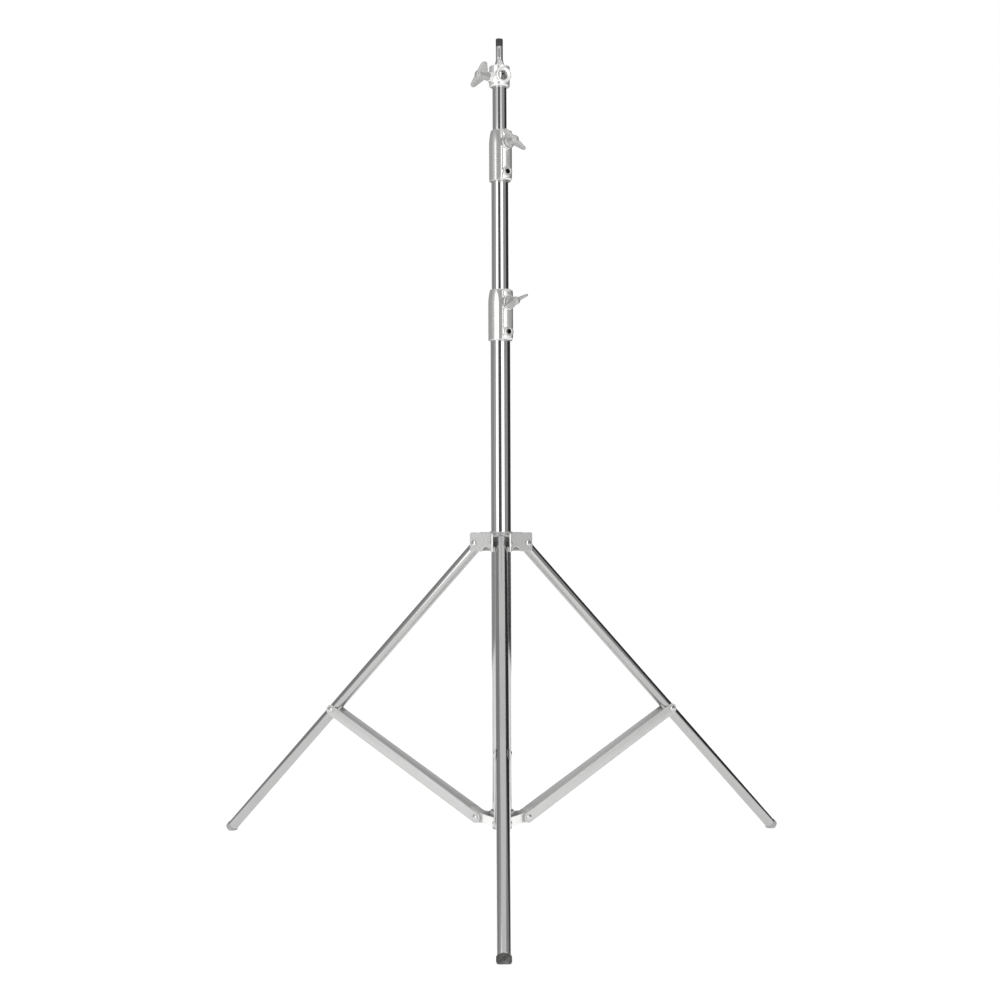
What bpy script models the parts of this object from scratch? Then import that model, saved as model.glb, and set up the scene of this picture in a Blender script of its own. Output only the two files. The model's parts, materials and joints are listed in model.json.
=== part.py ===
"""Three-section stainless light stand with a folding tripod base.

The stand is modelled at its real size in metres, +Z up, and the floor is z = 0. The front leg
points along -Y, and the other two are 120 degrees apart. Every piece is placed from the pole's
axis, and the whole stand is then shifted along Y so that its footprint is centred on the origin.

Azimuths are measured from the front (-Y) towards the right (+X).
"""

import math

import bmesh
import bpy
from mathutils import Matrix, Vector

MM = 0.001

# Clearances between pieces
FIT = 0.3 * MM
SEAT_GAP = 0.3 * MM
SIDE_PLAY = 0.5 * MM

# Round pieces: how many flats stand for a full circle
POLE_SIDES = 36
LEG_SIDES = 24
BORE_SIDES = 16
PIN_SIDES = 12

# Pole tubes
LOWER_TUBE_DIAMETER = 35.0 * MM
MIDDLE_TUBE_DIAMETER = 30.0 * MM
TOP_TUBE_DIAMETER = 25.0 * MM
TUBE_WALL = 1.2 * MM
LOWER_TUBE_BOTTOM = 67.0 * MM
LOWER_TUBE_LENGTH = 914.0 * MM
MIDDLE_TUBE_SHOWN = 193.0 * MM
TOP_TUBE_SHOWN = 77.5 * MM
SLIDE_STOP_GAP = 1.0 * MM

# Plastic bushes and plugs in the tubes
BUSH_HEIGHT = 12.0 * MM
BUSH_NECK = 20.0 * MM
BUSH_WALL = 2.2 * MM
GUIDE_SLEEVE_LENGTH = 42.0 * MM
END_PLUG_FLANGE = 2.6 * MM
END_PLUG_NECK = 16.0 * MM

# Cast clamps at the top of the lower and the middle tube
CLAMP_HEIGHT = 91.0 * MM
CLAMP_WALL = 4.0 * MM
CLAMP_TOP_WALL = 3.2 * MM
CLAMP_SHOULDER = 26.0 * MM
CLAMP_SEAT_DEPTH = 47.0 * MM
CLAMP_AZIMUTH = 30.0
RIB_WIDTH = 26.0 * MM
RIB_DEPTH = 8.5 * MM
RIB_CORNER = 6.5 * MM
RIB_TOP_DROP = 3.0 * MM
KNOB_BOSS_RADIUS = 12.5 * MM
KNOB_BOSS_DEPTH = 4.5 * MM
KNOB_BOSS_HEIGHT = 66.0 * MM
SET_BOSS_RADIUS = 9.0 * MM
SET_BOSS_DEPTH = 2.2 * MM
SET_BOSS_HEIGHT = 14.3 * MM

# Clamp screws, pads and set screws
SCREW_RADIUS = 4.0 * MM
PAD_RADIUS = 5.0 * MM
PAD_THICKNESS = 3.0 * MM
SET_SCREW_RADIUS = 4.0 * MM
SET_SCREW_RECESS = 0.8 * MM
HEX_RADIUS = 2.6 * MM
HEX_DEPTH = 4.0 * MM

# Wing knobs
KNOB_GAP = 0.6 * MM
KNOB_LENGTH = 27.0 * MM
KNOB_HUB_RADIUS = 7.2 * MM
KNOB_BASE_RADIUS = 10.5 * MM
HEAD_KNOB_BASE_RADIUS = 7.8 * MM
KNOB_SCREW_DEPTH = 14.0 * MM
KNOB_FLANGE = 3.0 * MM
KNOB_WAIST = 7.0 * MM
KNOB_WAIST_STEP = 0.8 * MM
KNOB_CROWN = 6.0 * MM
WING_REACH = 26.5 * MM
WING_THICKNESS = 5.0 * MM
WING_ROOT = 3.0 * MM
WING_OUTER_EDGE = 26.0 * MM
WING_TIP_RADIUS = 6.5 * MM
WING_EDGE = 1.0 * MM
UPPER_KNOB_ROLL = -37.0
LOWER_KNOB_ROLL = 27.0
HEAD_KNOB_ROLL = 44.0
BRACKET_KNOB_ROLL = 90.0

# Head casting with its cross receiver
HEAD_RADIUS = 18.5 * MM
HEAD_HEIGHT = 37.5 * MM
HEAD_SEAT_DEPTH = 8.5 * MM
HEAD_EDGE = 1.8 * MM
RECEIVER_AZIMUTH = 24.0
RECEIVER_HEIGHT = 18.5 * MM
RECEIVER_BOSS_RADIUS = 14.0 * MM
RECEIVER_BORE_RADIUS = 8.0 * MM
RECEIVER_MOUTH_RADIUS = 10.7 * MM
RECEIVER_MOUTH_DEPTH = 3.0 * MM
RECEIVER_REACH = 20.5 * MM
HEAD_KNOB_AZIMUTH = -52.0
HEAD_KNOB_HEIGHT = 16.0 * MM
HEAD_BOSS_RADIUS = 8.5 * MM
HEAD_BOSS_REACH = 26.0 * MM

# Spigot on top
SPIGOT_RADIUS = 6.25 * MM
SPIGOT_SHANK = 25.5 * MM
SPIGOT_HEIGHT = 35.0 * MM
SPIGOT_CONE_RADIUS = 9.2 * MM
SPIGOT_CONE_RIM = 1.2 * MM
SPIGOT_CONE_HEIGHT = 12.0 * MM
SPIGOT_STUD_RADIUS = 4.7 * MM
SPIGOT_STUD_HEIGHT = 8.5 * MM
SPIGOT_CAP_HEIGHT = 13.2 * MM
SPIGOT_CAP_PROUD = 0.1 * MM
SPIGOT_CAP_EDGE = 0.8 * MM

# Leg bracket that slides on the lower tube
LEG_AZIMUTHS = {"front": 0.0, "right": 120.0, "left": -120.0}
BRACKET_HEIGHT = 573.0 * MM
BRACKET_HUB_WALL = 2.6 * MM
BRACKET_BELOW_PIVOT = 15.0 * MM
BRACKET_ABOVE_PIVOT = 19.0 * MM
BRACKET_HUB_TOP = 21.0 * MM
LEG_PIVOT_RADIUS = 46.0 * MM
EAR_PLATE = 3.0 * MM
EAR_WIDTH = 34.6 * MM
EAR_OVERHANG = 9.0 * MM
EAR_CORNER = 3.0 * MM
EAR_ROOT = 6.0 * MM
EAR_ARCH_RADIUS = 8.0 * MM
EAR_ARCH_OFFSET = 21.5 * MM
BRACKET_WEB = 3.4 * MM
BRACKET_WEB_DROP = 4.4 * MM
BRACKET_WEB_REACH = 33.5 * MM
BRACKET_BOSS_AZIMUTH = 180.0
BRACKET_BOSS_RADIUS = 9.5 * MM
BRACKET_BOSS_REACH = 31.0 * MM

# Legs
LEG_ANGLE = math.radians(45.15)
LEG_DIAMETER = 21.0 * MM
LEG_WALL = 1.2 * MM
STRUT_JOINT_ALONG = 452.0 * MM
LEG_TOP_OVERHANG = 9.5 * MM
LEG_PLUG_HEAD = 2.5 * MM
LEG_PLUG_CROWN = 1.0 * MM
LEG_PLUG_NECK = 28.0 * MM
LEG_PIN_RADIUS = 5.0 * MM
FOOT_RADIUS = 11.4 * MM
FOOT_NECK = 18.0 * MM
FOOT_CORNER = 3.5 * MM
FOOT_SOLE = 3.0 * MM
FOOT_END_SHORT = 3.5 * MM

# Struts, folded sheet channels that taper from the collar to the leg
STRUT_SHEET = 1.5 * MM
STRUT_WIDTH_AT_COLLAR = 30.0 * MM
STRUT_ABOVE_PIVOT = 9.0 * MM
STRUT_BELOW_PIVOT = 10.0 * MM
STRUT_NOSE_RADIUS = 9.5 * MM
STRUT_NOTCH_DEPTH = 23.0 * MM
STRUT_NOTCH_LIP = 0.2 * MM

# Fixed collar at the foot of the pole
COLLAR_PIVOT_RADIUS = 46.8 * MM
COLLAR_PIVOT_HEIGHT = 81.0 * MM
COLLAR_HALF_HEIGHT = 9.0 * MM
COLLAR_SLEEVE_WALL = 3.4 * MM
COLLAR_SLEEVE_TOP = 16.0 * MM
COLLAR_CORNER_RADIUS = 31.0 * MM
COLLAR_FLARE_START = 35.0 * MM
COLLAR_PLATE = 2.5 * MM
COLLAR_EAR_RADIUS = 9.4 * MM

# Rivets
RIVET_RADIUS = 3.0 * MM
RIVET_HEAD_RADIUS = 5.5 * MM
RIVET_HEAD_HEIGHT = 2.2 * MM

# Sizes that follow from the ones above
LOWER_RADIUS = LOWER_TUBE_DIAMETER / 2
MIDDLE_RADIUS = MIDDLE_TUBE_DIAMETER / 2
TOP_RADIUS = TOP_TUBE_DIAMETER / 2
LEG_RADIUS = LEG_DIAMETER / 2
LOWER_TUBE_TOP = LOWER_TUBE_BOTTOM + LOWER_TUBE_LENGTH
LOWER_CLAMP_BOTTOM = LOWER_TUBE_TOP - CLAMP_SEAT_DEPTH
UPPER_CLAMP_BOTTOM = LOWER_CLAMP_BOTTOM + CLAMP_HEIGHT + MIDDLE_TUBE_SHOWN
MIDDLE_TUBE_TOP = UPPER_CLAMP_BOTTOM + CLAMP_SEAT_DEPTH
HEAD_BOTTOM = UPPER_CLAMP_BOTTOM + CLAMP_HEIGHT + TOP_TUBE_SHOWN
TOP_TUBE_TOP = HEAD_BOTTOM + HEAD_SEAT_DEPTH
BUSH_BELOW_TUBE = SEAT_GAP + BUSH_HEIGHT
MIDDLE_STOP = LOWER_TUBE_BOTTOM + END_PLUG_NECK + SLIDE_STOP_GAP
MIDDLE_TUBE_BOTTOM = MIDDLE_STOP + BUSH_BELOW_TUBE + MIDDLE_TUBE_SHOWN
MIDDLE_TUBE_LENGTH = MIDDLE_TUBE_TOP - MIDDLE_TUBE_BOTTOM
TOP_STOP = MIDDLE_TUBE_BOTTOM + BUSH_NECK + SLIDE_STOP_GAP
TOP_TUBE_BOTTOM = TOP_STOP + BUSH_BELOW_TUBE + TOP_TUBE_SHOWN
TOP_TUBE_LENGTH = TOP_TUBE_TOP - TOP_TUBE_BOTTOM
LEG_LENGTH = BRACKET_HEIGHT / math.cos(LEG_ANGLE)
STRUT_JOINT_RADIUS = LEG_PIVOT_RADIUS + STRUT_JOINT_ALONG * math.sin(LEG_ANGLE)
STRUT_JOINT_HEIGHT = BRACKET_HEIGHT - STRUT_JOINT_ALONG * math.cos(LEG_ANGLE)
STRUT_RISE = STRUT_JOINT_HEIGHT - COLLAR_PIVOT_HEIGHT
STRUT_RUN = STRUT_JOINT_RADIUS - COLLAR_PIVOT_RADIUS
STRUT_LENGTH = math.hypot(STRUT_RUN, STRUT_RISE)
STRUT_WIDTH_AT_LEG = LEG_DIAMETER + 2 * (SIDE_PLAY + STRUT_SHEET)
COLLAR_EAR_HALF = STRUT_WIDTH_AT_COLLAR / 2 - STRUT_SHEET - SIDE_PLAY
OVERLAP = 1.0 * MM
MERGE = 0.002 * MM
FLAT = math.radians(0.05)


def clear_scene():
    """Remove whatever objects the scene holds."""
    for obj in list(bpy.data.objects):
        bpy.data.objects.remove(obj, do_unlink=True)


def finish(name, colour, roughness, metallic):
    """A Principled material of one colour."""
    made = bpy.data.materials.new(name)
    made.use_nodes = True
    shader = made.node_tree.nodes["Principled BSDF"]
    shader.inputs["Base Color"].default_value = (*colour, 1.0)
    shader.inputs["Roughness"].default_value = roughness
    shader.inputs["Metallic"].default_value = metallic
    return made


def solid_from(name, points, faces):
    """An object from points and faces, with its faces turned outwards."""
    mesh = bpy.data.meshes.new(name)
    mesh.from_pydata([tuple(p) for p in points], [], faces)
    work = bmesh.new()
    work.from_mesh(mesh)
    bmesh.ops.recalc_face_normals(work, faces=work.faces)
    work.to_mesh(mesh)
    work.free()
    obj = bpy.data.objects.new(name, mesh)
    bpy.context.scene.collection.objects.link(obj)
    return obj


def turned(name, profile, sides):
    """A solid of revolution about Z from a closed profile of (radius, height) points.

    A point of radius zero becomes one vertex on the axis, and two such neighbours need no face
    between them.
    """
    points = []
    rings = []
    for radius, height in profile:
        if radius == 0.0:
            rings.append([len(points)] * sides)
            points.append((0.0, 0.0, height))
            continue
        rings.append(list(range(len(points), len(points) + sides)))
        for k in range(sides):
            turn = 2 * math.pi * k / sides
            points.append((radius * math.cos(turn), radius * math.sin(turn), height))
    faces = []
    for near, far in zip(rings, rings[1:] + rings[:1]):
        for k in range(sides):
            after = (k + 1) % sides
            corners = [near[k], near[after], far[after], far[k]]
            corners = list(dict.fromkeys(corners))
            if len(corners) > 2:
                faces.append(corners)
    return solid_from(name, points, faces)


def tube(name, outer, inner, low, high, sides):
    """A plain ring about Z."""
    return turned(name, [(outer, low), (outer, high), (inner, high), (inner, low)], sides)


def rod(name, radius, low, high, sides):
    """A plain cylinder about Z."""
    return turned(name, [(0.0, low), (radius, low), (radius, high), (0.0, high)], sides)


def prism(name, outline, low, high):
    """A flat outline in XY, extruded along Z."""
    count = len(outline)
    points = [(x, y, low) for x, y in outline] + [(x, y, high) for x, y in outline]
    faces = [list(range(count)), list(range(count, 2 * count))]
    for k in range(count):
        after = (k + 1) % count
        faces.append([k, after, after + count, k + count])
    return solid_from(name, points, faces)


def arc(centre, radius, start, end, steps):
    """Points along a circular arc, angles in degrees."""
    turns = [math.radians(start + (end - start) * k / steps) for k in range(steps + 1)]
    return [(centre[0] + radius * math.cos(t), centre[1] + radius * math.sin(t)) for t in turns]


def remould(obj, matrix):
    """Move an object's own points."""
    obj.data.transform(matrix)
    return obj


# Turn a piece made about Z so that it lies along X or Y
ALONG_X = Matrix(((0, 0, 1, 0), (1, 0, 0, 0), (0, 1, 0, 0), (0, 0, 0, 1)))
ALONG_Y = Matrix(((0, 1, 0, 0), (0, 0, 1, 0), (1, 0, 0, 0), (0, 0, 0, 1)))
# Stand a flat XY outline up so that it lies in XZ and its thickness runs along Y
UPRIGHT = Matrix(((1, 0, 0, 0), (0, 0, -1, 0), (0, 1, 0, 0), (0, 0, 0, 1)))


def combine(body, tool, operation):
    """Join, cut or intersect body with tool, which is used up."""
    step = body.modifiers.new(operation.lower(), "BOOLEAN")
    step.operation = operation
    step.object = tool
    step.solver = "EXACT"
    view = bpy.context.evaluated_depsgraph_get()
    result = bpy.data.meshes.new_from_object(body.evaluated_get(view))
    body.modifiers.clear()
    work = bmesh.new()
    work.from_mesh(result)
    bmesh.ops.remove_doubles(work, verts=work.verts, dist=MERGE)
    bmesh.ops.dissolve_degenerate(work, edges=work.edges, dist=MERGE)
    bmesh.ops.dissolve_limit(work, angle_limit=FLAT, verts=work.verts, edges=work.edges)
    work.to_mesh(result)
    work.free()
    body.data = result
    bpy.data.objects.remove(tool, do_unlink=True)
    return body


def joined(body, *tools):
    for tool in tools:
        combine(body, tool, "UNION")
    return body


def cut(body, *tools):
    for tool in tools:
        combine(body, tool, "DIFFERENCE")
    return body


def azimuth_vector(azimuth):
    turn = math.radians(azimuth)
    return Vector((math.sin(turn), -math.cos(turn), 0.0))


def frame(origin, forward, up):
    """A frame at origin, its X along forward and its Z along up."""
    x_axis = Vector(forward).normalized()
    y_axis = Vector(up).cross(x_axis).normalized()
    z_axis = x_axis.cross(y_axis)
    place = Matrix((x_axis, y_axis, z_axis)).transposed().to_4x4()
    place.translation = origin
    return place


def upright_frame(azimuth, height, reach=0.0):
    """A frame whose X points outwards at an azimuth, with Z up."""
    forward = azimuth_vector(azimuth)
    return frame(forward * reach + Vector((0, 0, height)), forward, (0, 0, 1))


def turned_about_pole(azimuth):
    return frame((0, 0, 0), azimuth_vector(azimuth), (0, 0, 1))


FRAMES = {}


def empty(name, place, parent=None):
    """A joint's parent empty."""
    obj = bpy.data.objects.new(name, None)
    obj.empty_display_size = 0.02
    bpy.context.scene.collection.objects.link(obj)
    FRAMES[name] = place
    hang(obj, place, parent)
    return obj


def hang(obj, place, parent):
    """Put an object at a world place under a parent empty."""
    if parent is None:
        obj.matrix_basis = place
        return
    obj.parent = parent
    obj.matrix_basis = FRAMES[parent.name].inverted() @ place


def fit_piece(obj, name, look, place, parent):
    """Name, dress and place a finished piece."""
    obj.name = name
    obj.data.name = name
    obj.data.materials.clear()
    obj.data.materials.append(look)
    obj.data.shade_smooth()
    obj.data.set_sharp_from_angle(angle=math.radians(40))
    hang(obj, place, parent)
    return obj


def copy_piece(source, name, place, parent):
    """Another object of the same mesh."""
    obj = bpy.data.objects.new(name, source.data)
    bpy.context.scene.collection.objects.link(obj)
    hang(obj, place, parent)
    return obj


def clamp_casting(seat_radius, slide_radius):
    """The clamp's casting, from its bottom face up, its rib along +X."""
    body_radius = seat_radius + CLAMP_WALL
    top_radius = slide_radius + CLAMP_TOP_WALL
    shoulder = []
    steps = 6
    for k in range(steps + 1):
        depth = CLAMP_SHOULDER * (1 - k / steps)
        radius = body_radius - (body_radius - top_radius) * (1 - depth / CLAMP_SHOULDER) ** 2
        shoulder.append((radius, CLAMP_HEIGHT - depth))
    outer = [(0.0, 0.0), (body_radius - HEAD_EDGE, 0.0), (body_radius, HEAD_EDGE)]
    body = turned("body", outer + shoulder + [(0.0, CLAMP_HEIGHT)], POLE_SIDES)
    front = body_radius + RIB_DEPTH
    half = RIB_WIDTH / 2
    inset = RIB_CORNER
    outline = [(seat_radius / 2, half), (seat_radius / 2, -half)]
    outline += arc((front - inset, inset - half), RIB_CORNER, -90, 0, 5)
    outline += arc((front - inset, half - inset), RIB_CORNER, 0, 90, 5)
    rib = prism("rib", outline, OVERLAP, CLAMP_HEIGHT - RIB_TOP_DROP)
    knob_face = front + KNOB_BOSS_DEPTH
    knob_boss = rod("boss", KNOB_BOSS_RADIUS, seat_radius, knob_face, BORE_SIDES)
    remould(knob_boss, Matrix.Translation((0, 0, KNOB_BOSS_HEIGHT)) @ ALONG_X)
    set_boss = rod("boss", SET_BOSS_RADIUS, seat_radius, front + SET_BOSS_DEPTH, BORE_SIDES)
    remould(set_boss, Matrix.Translation((0, 0, SET_BOSS_HEIGHT)) @ ALONG_X)
    joined(body, rib, knob_boss, set_boss)
    seat = seat_radius + FIT
    slide = slide_radius + FIT
    seat_top = CLAMP_SEAT_DEPTH + SEAT_GAP
    bore = [(0.0, -OVERLAP), (seat, -OVERLAP), (seat, seat_top), (slide, seat_top)]
    bore += [(slide, CLAMP_HEIGHT + OVERLAP), (0.0, CLAMP_HEIGHT + OVERLAP)]
    knob_hole = rod("hole", PAD_RADIUS + FIT, slide_radius / 2, knob_face + OVERLAP, BORE_SIDES)
    remould(knob_hole, Matrix.Translation((0, 0, KNOB_BOSS_HEIGHT)) @ ALONG_X)
    set_hole_end = front + SET_BOSS_DEPTH + OVERLAP
    set_hole = rod("hole", SET_SCREW_RADIUS + FIT, seat_radius / 2, set_hole_end, BORE_SIDES)
    remould(set_hole, Matrix.Translation((0, 0, SET_BOSS_HEIGHT)) @ ALONG_X)
    return cut(body, turned("bore", bore, POLE_SIDES), knob_hole, set_hole)


def set_screw(seat_radius):
    """A headless screw along +X with a hexagon socket in its outer end."""
    tip = seat_radius + FIT
    end = seat_radius + CLAMP_WALL + RIB_DEPTH + SET_BOSS_DEPTH - SET_SCREW_RECESS
    screw = rod("screw", SET_SCREW_RADIUS, tip, end, BORE_SIDES)
    socket = rod("socket", HEX_RADIUS, end - HEX_DEPTH, end + OVERLAP, 6)
    cut(screw, socket)
    return remould(screw, ALONG_X)


def wing_knob(base_radius):
    """A hub along +X with two swept wings in the XY plane.

    A wing's inner edge runs from its root to touch the rounding of its tip.
    """
    profile = [(0.0, 0.0), (base_radius, 0.0), (base_radius, KNOB_FLANGE)]
    profile += [(KNOB_HUB_RADIUS + KNOB_WAIST_STEP, KNOB_WAIST)]
    for share in (0.0, 0.4, 0.7, 0.9):
        radius = KNOB_HUB_RADIUS * math.sqrt(1 - share ** 2)
        profile.append((radius, KNOB_LENGTH - KNOB_CROWN * (1 - share)))
    profile.append((0.0, KNOB_LENGTH))
    hub = remould(turned("hub", profile, BORE_SIDES), ALONG_X)
    root_y = KNOB_HUB_RADIUS - OVERLAP
    tip_x = WING_OUTER_EDGE - WING_TIP_RADIUS
    tip_y = WING_REACH - WING_TIP_RADIUS
    run = tip_x - WING_ROOT
    rise = tip_y - root_y
    lean = math.atan2(rise, run) + math.asin(WING_TIP_RADIUS / math.hypot(run, rise))
    side = [(WING_ROOT, root_y)]
    side += arc((tip_x, tip_y), WING_TIP_RADIUS, 90 + math.degrees(lean), 0, 6)
    side += [(WING_OUTER_EDGE, root_y)]
    outline = side + [(x, -y) for x, y in reversed(side)]
    half = WING_THICKNESS / 2
    wings = prism("wings", outline, -half, half)
    work = bmesh.new()
    work.from_mesh(wings.data)
    rims = [e for e in work.edges if abs(e.verts[0].co.z - e.verts[1].co.z) < half]
    bmesh.ops.bevel(work, geom=rims, offset=WING_EDGE, segments=1, affect="EDGES")
    work.to_mesh(wings.data)
    work.free()
    bore = rod("bore", SCREW_RADIUS + FIT, -OVERLAP, KNOB_SCREW_DEPTH, BORE_SIDES)
    return cut(joined(hub, wings), remould(bore, ALONG_X))


def clamp_screw(tip, knob_base):
    """The knob's threaded rod along +X, measured from the pole's axis."""
    end = knob_base + KNOB_SCREW_DEPTH - SEAT_GAP
    return remould(rod("screw", SCREW_RADIUS, tip - knob_base, end - knob_base, PIN_SIDES), ALONG_X)


def clamp_pad(tube_radius):
    """The pad between a clamp screw and its tube, along +X from the pole's axis."""
    low = tube_radius + FIT
    return remould(rod("pad", PAD_RADIUS, low, low + PAD_THICKNESS, BORE_SIDES), ALONG_X)


def head_casting():
    """The head, from its bottom face up."""
    rim = HEAD_RADIUS - HEAD_EDGE
    profile = [(0.0, 0.0), (rim, 0.0), (HEAD_RADIUS, HEAD_EDGE)]
    profile += [(HEAD_RADIUS, HEAD_HEIGHT - HEAD_EDGE), (rim, HEAD_HEIGHT), (0.0, HEAD_HEIGHT)]
    body = turned("body", profile, POLE_SIDES)
    receiver = rod("receiver", RECEIVER_BOSS_RADIUS, -RECEIVER_REACH, RECEIVER_REACH, POLE_SIDES)
    across = upright_frame(RECEIVER_AZIMUTH, RECEIVER_HEIGHT) @ ALONG_X
    remould(receiver, across)
    boss = rod("boss", HEAD_BOSS_RADIUS, HEAD_RADIUS / 2, HEAD_BOSS_REACH, BORE_SIDES)
    outwards = upright_frame(HEAD_KNOB_AZIMUTH, HEAD_KNOB_HEIGHT) @ ALONG_X
    remould(boss, outwards)
    joined(body, receiver, boss)
    seat = TOP_RADIUS + FIT
    shank = SPIGOT_RADIUS + FIT
    seat_top = HEAD_SEAT_DEPTH + SEAT_GAP
    bore = [(0.0, -OVERLAP), (seat, -OVERLAP), (seat, seat_top), (shank, seat_top)]
    bore += [(shank, HEAD_HEIGHT + OVERLAP), (0.0, HEAD_HEIGHT + OVERLAP)]
    deep = RECEIVER_REACH - RECEIVER_MOUTH_DEPTH
    lip = RECEIVER_REACH + OVERLAP
    mouth = RECEIVER_MOUTH_RADIUS
    passage = [(0.0, -lip), (mouth, -lip), (mouth, -RECEIVER_REACH), (RECEIVER_BORE_RADIUS, -deep)]
    passage += [(RECEIVER_BORE_RADIUS, deep), (mouth, RECEIVER_REACH), (mouth, lip), (0.0, lip)]
    through = remould(turned("passage", passage, POLE_SIDES), across)
    hole = rod("hole", SCREW_RADIUS + FIT, SPIGOT_RADIUS / 2, HEAD_BOSS_REACH + OVERLAP, BORE_SIDES)
    return cut(body, turned("bore", bore, POLE_SIDES), through, remould(hole, outwards))


def spigot():
    """The spigot, its cone's rim at z = 0."""
    profile = [(0.0, -SPIGOT_SHANK), (SPIGOT_RADIUS, -SPIGOT_SHANK), (SPIGOT_RADIUS, 0.0)]
    profile += [(SPIGOT_CONE_RADIUS, 0.0), (SPIGOT_CONE_RADIUS, SPIGOT_CONE_RIM)]
    steps = 5
    for k in range(1, steps + 1):
        share = k / steps
        radius = SPIGOT_RADIUS + (SPIGOT_CONE_RADIUS - SPIGOT_RADIUS) * (1 - share) ** 1.4
        profile.append((radius, SPIGOT_CONE_RIM + (SPIGOT_CONE_HEIGHT - SPIGOT_CONE_RIM) * share))
    profile += [(SPIGOT_RADIUS, SPIGOT_HEIGHT), (SPIGOT_STUD_RADIUS, SPIGOT_HEIGHT)]
    stud_top = SPIGOT_HEIGHT + SPIGOT_STUD_HEIGHT
    profile += [(SPIGOT_STUD_RADIUS, stud_top), (0.0, stud_top)]
    return turned("spigot", profile, BORE_SIDES)


def spigot_cap():
    """The cap over the spigot's threaded stud, its rim at z = 0."""
    outer = SPIGOT_RADIUS + SPIGOT_CAP_PROUD
    inner = SPIGOT_STUD_RADIUS + FIT
    depth = SPIGOT_STUD_HEIGHT
    edge = SPIGOT_CAP_EDGE
    profile = [(0.0, depth), (inner, depth), (inner, 0.0), (outer, 0.0)]
    profile += [(outer, SPIGOT_CAP_HEIGHT - edge), (outer - edge, SPIGOT_CAP_HEIGHT)]
    return turned("cap", profile + [(0.0, SPIGOT_CAP_HEIGHT)], BORE_SIDES)


def ear_plate(side):
    """One side plate of a leg channel, X outwards and Z up from the leg's pivot height."""
    low = -BRACKET_BELOW_PIVOT
    high = BRACKET_ABOVE_PIVOT
    end = LEG_PIVOT_RADIUS + EAR_OVERHANG
    corner = EAR_CORNER
    outline = [(EAR_ROOT, low)]
    outline += arc((EAR_ARCH_OFFSET, low), EAR_ARCH_RADIUS, 180, 0, 8)
    outline += arc((end - corner, low + corner), corner, -90, 0, 3)
    outline += arc((end - corner, high - corner), corner, 0, 90, 3)
    outline += [(EAR_ROOT, high)]
    outer = EAR_WIDTH / 2
    plate = prism("ear", outline, side * (outer - EAR_PLATE), side * outer)
    return remould(plate, UPRIGHT)


def leg_bracket():
    """The sliding spider, its origin on the pole's axis at the leg pivots' height."""
    outer = LOWER_RADIUS + FIT + BRACKET_HUB_WALL
    body = rod("body", outer, -BRACKET_BELOW_PIVOT, BRACKET_HUB_TOP, POLE_SIDES)
    for azimuth in LEG_AZIMUTHS.values():
        about = turned_about_pole(azimuth)
        for side in (-1, 1):
            joined(body, remould(ear_plate(side), about))
        half = EAR_WIDTH / 2 - EAR_PLATE / 2
        reach = BRACKET_WEB_REACH
        web_outline = [(LOWER_RADIUS, -half), (reach, -half), (reach, half), (LOWER_RADIUS, half)]
        web_top = BRACKET_ABOVE_PIVOT - BRACKET_WEB_DROP
        web = prism("web", web_outline, web_top - BRACKET_WEB, web_top)
        joined(body, remould(web, about))
    boss = rod("boss", BRACKET_BOSS_RADIUS, LOWER_RADIUS, BRACKET_BOSS_REACH, BORE_SIDES)
    outwards = upright_frame(BRACKET_BOSS_AZIMUTH, 0.0) @ ALONG_X
    joined(body, remould(boss, outwards))
    bore = rod("bore", LOWER_RADIUS + FIT, -2 * BRACKET_HUB_TOP, 2 * BRACKET_HUB_TOP, POLE_SIDES)
    cut(body, bore)
    for azimuth in LEG_AZIMUTHS.values():
        pin = rod("pin", RIVET_RADIUS + FIT, -EAR_WIDTH, EAR_WIDTH, BORE_SIDES)
        place = upright_frame(azimuth, 0.0, LEG_PIVOT_RADIUS) @ ALONG_Y
        cut(body, remould(pin, place))
    hole = rod("hole", PAD_RADIUS + FIT, LOWER_RADIUS / 2, 2 * BRACKET_BOSS_REACH, BORE_SIDES)
    return cut(body, remould(hole, outwards))


def leg_tube():
    """A leg, its origin on the strut's joint and X towards the foot."""
    top = -STRUT_JOINT_ALONG - LEG_TOP_OVERHANG
    end = LEG_LENGTH - STRUT_JOINT_ALONG - LEG_RADIUS * math.tan(LEG_ANGLE) - FOOT_SOLE
    leg = tube("leg", LEG_RADIUS, LEG_RADIUS - LEG_WALL, top, end, LEG_SIDES)
    remould(leg, ALONG_X)
    bush = rod("hole", LEG_PIN_RADIUS + FIT, -LEG_DIAMETER, LEG_DIAMETER, BORE_SIDES)
    remould(bush, Matrix.Translation((-STRUT_JOINT_ALONG, 0, 0)) @ ALONG_Y)
    pin = rod("hole", RIVET_RADIUS + FIT, -LEG_DIAMETER, LEG_DIAMETER, BORE_SIDES)
    return cut(leg, bush, remould(pin, ALONG_Y))


def leg_plug():
    """The plug in a leg's upper end, its origin on the bracket pivot."""
    neck = LEG_RADIUS - LEG_WALL - FIT
    head_low = -LEG_TOP_OVERHANG - SEAT_GAP
    head_top = head_low - LEG_PLUG_HEAD
    profile = [(0.0, LEG_PLUG_NECK - LEG_TOP_OVERHANG), (0.0, head_top)]
    profile += [(LEG_RADIUS - LEG_PLUG_CROWN, head_top), (LEG_RADIUS, head_top + LEG_PLUG_CROWN)]
    profile += [(LEG_RADIUS, head_low), (neck, head_low), (neck, LEG_PLUG_NECK - LEG_TOP_OVERHANG)]
    plug = remould(turned("plug", profile, LEG_SIDES), ALONG_X)
    hole = rod("hole", LEG_PIN_RADIUS + FIT, -LEG_DIAMETER, LEG_DIAMETER, BORE_SIDES)
    return cut(plug, remould(hole, ALONG_Y))


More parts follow.
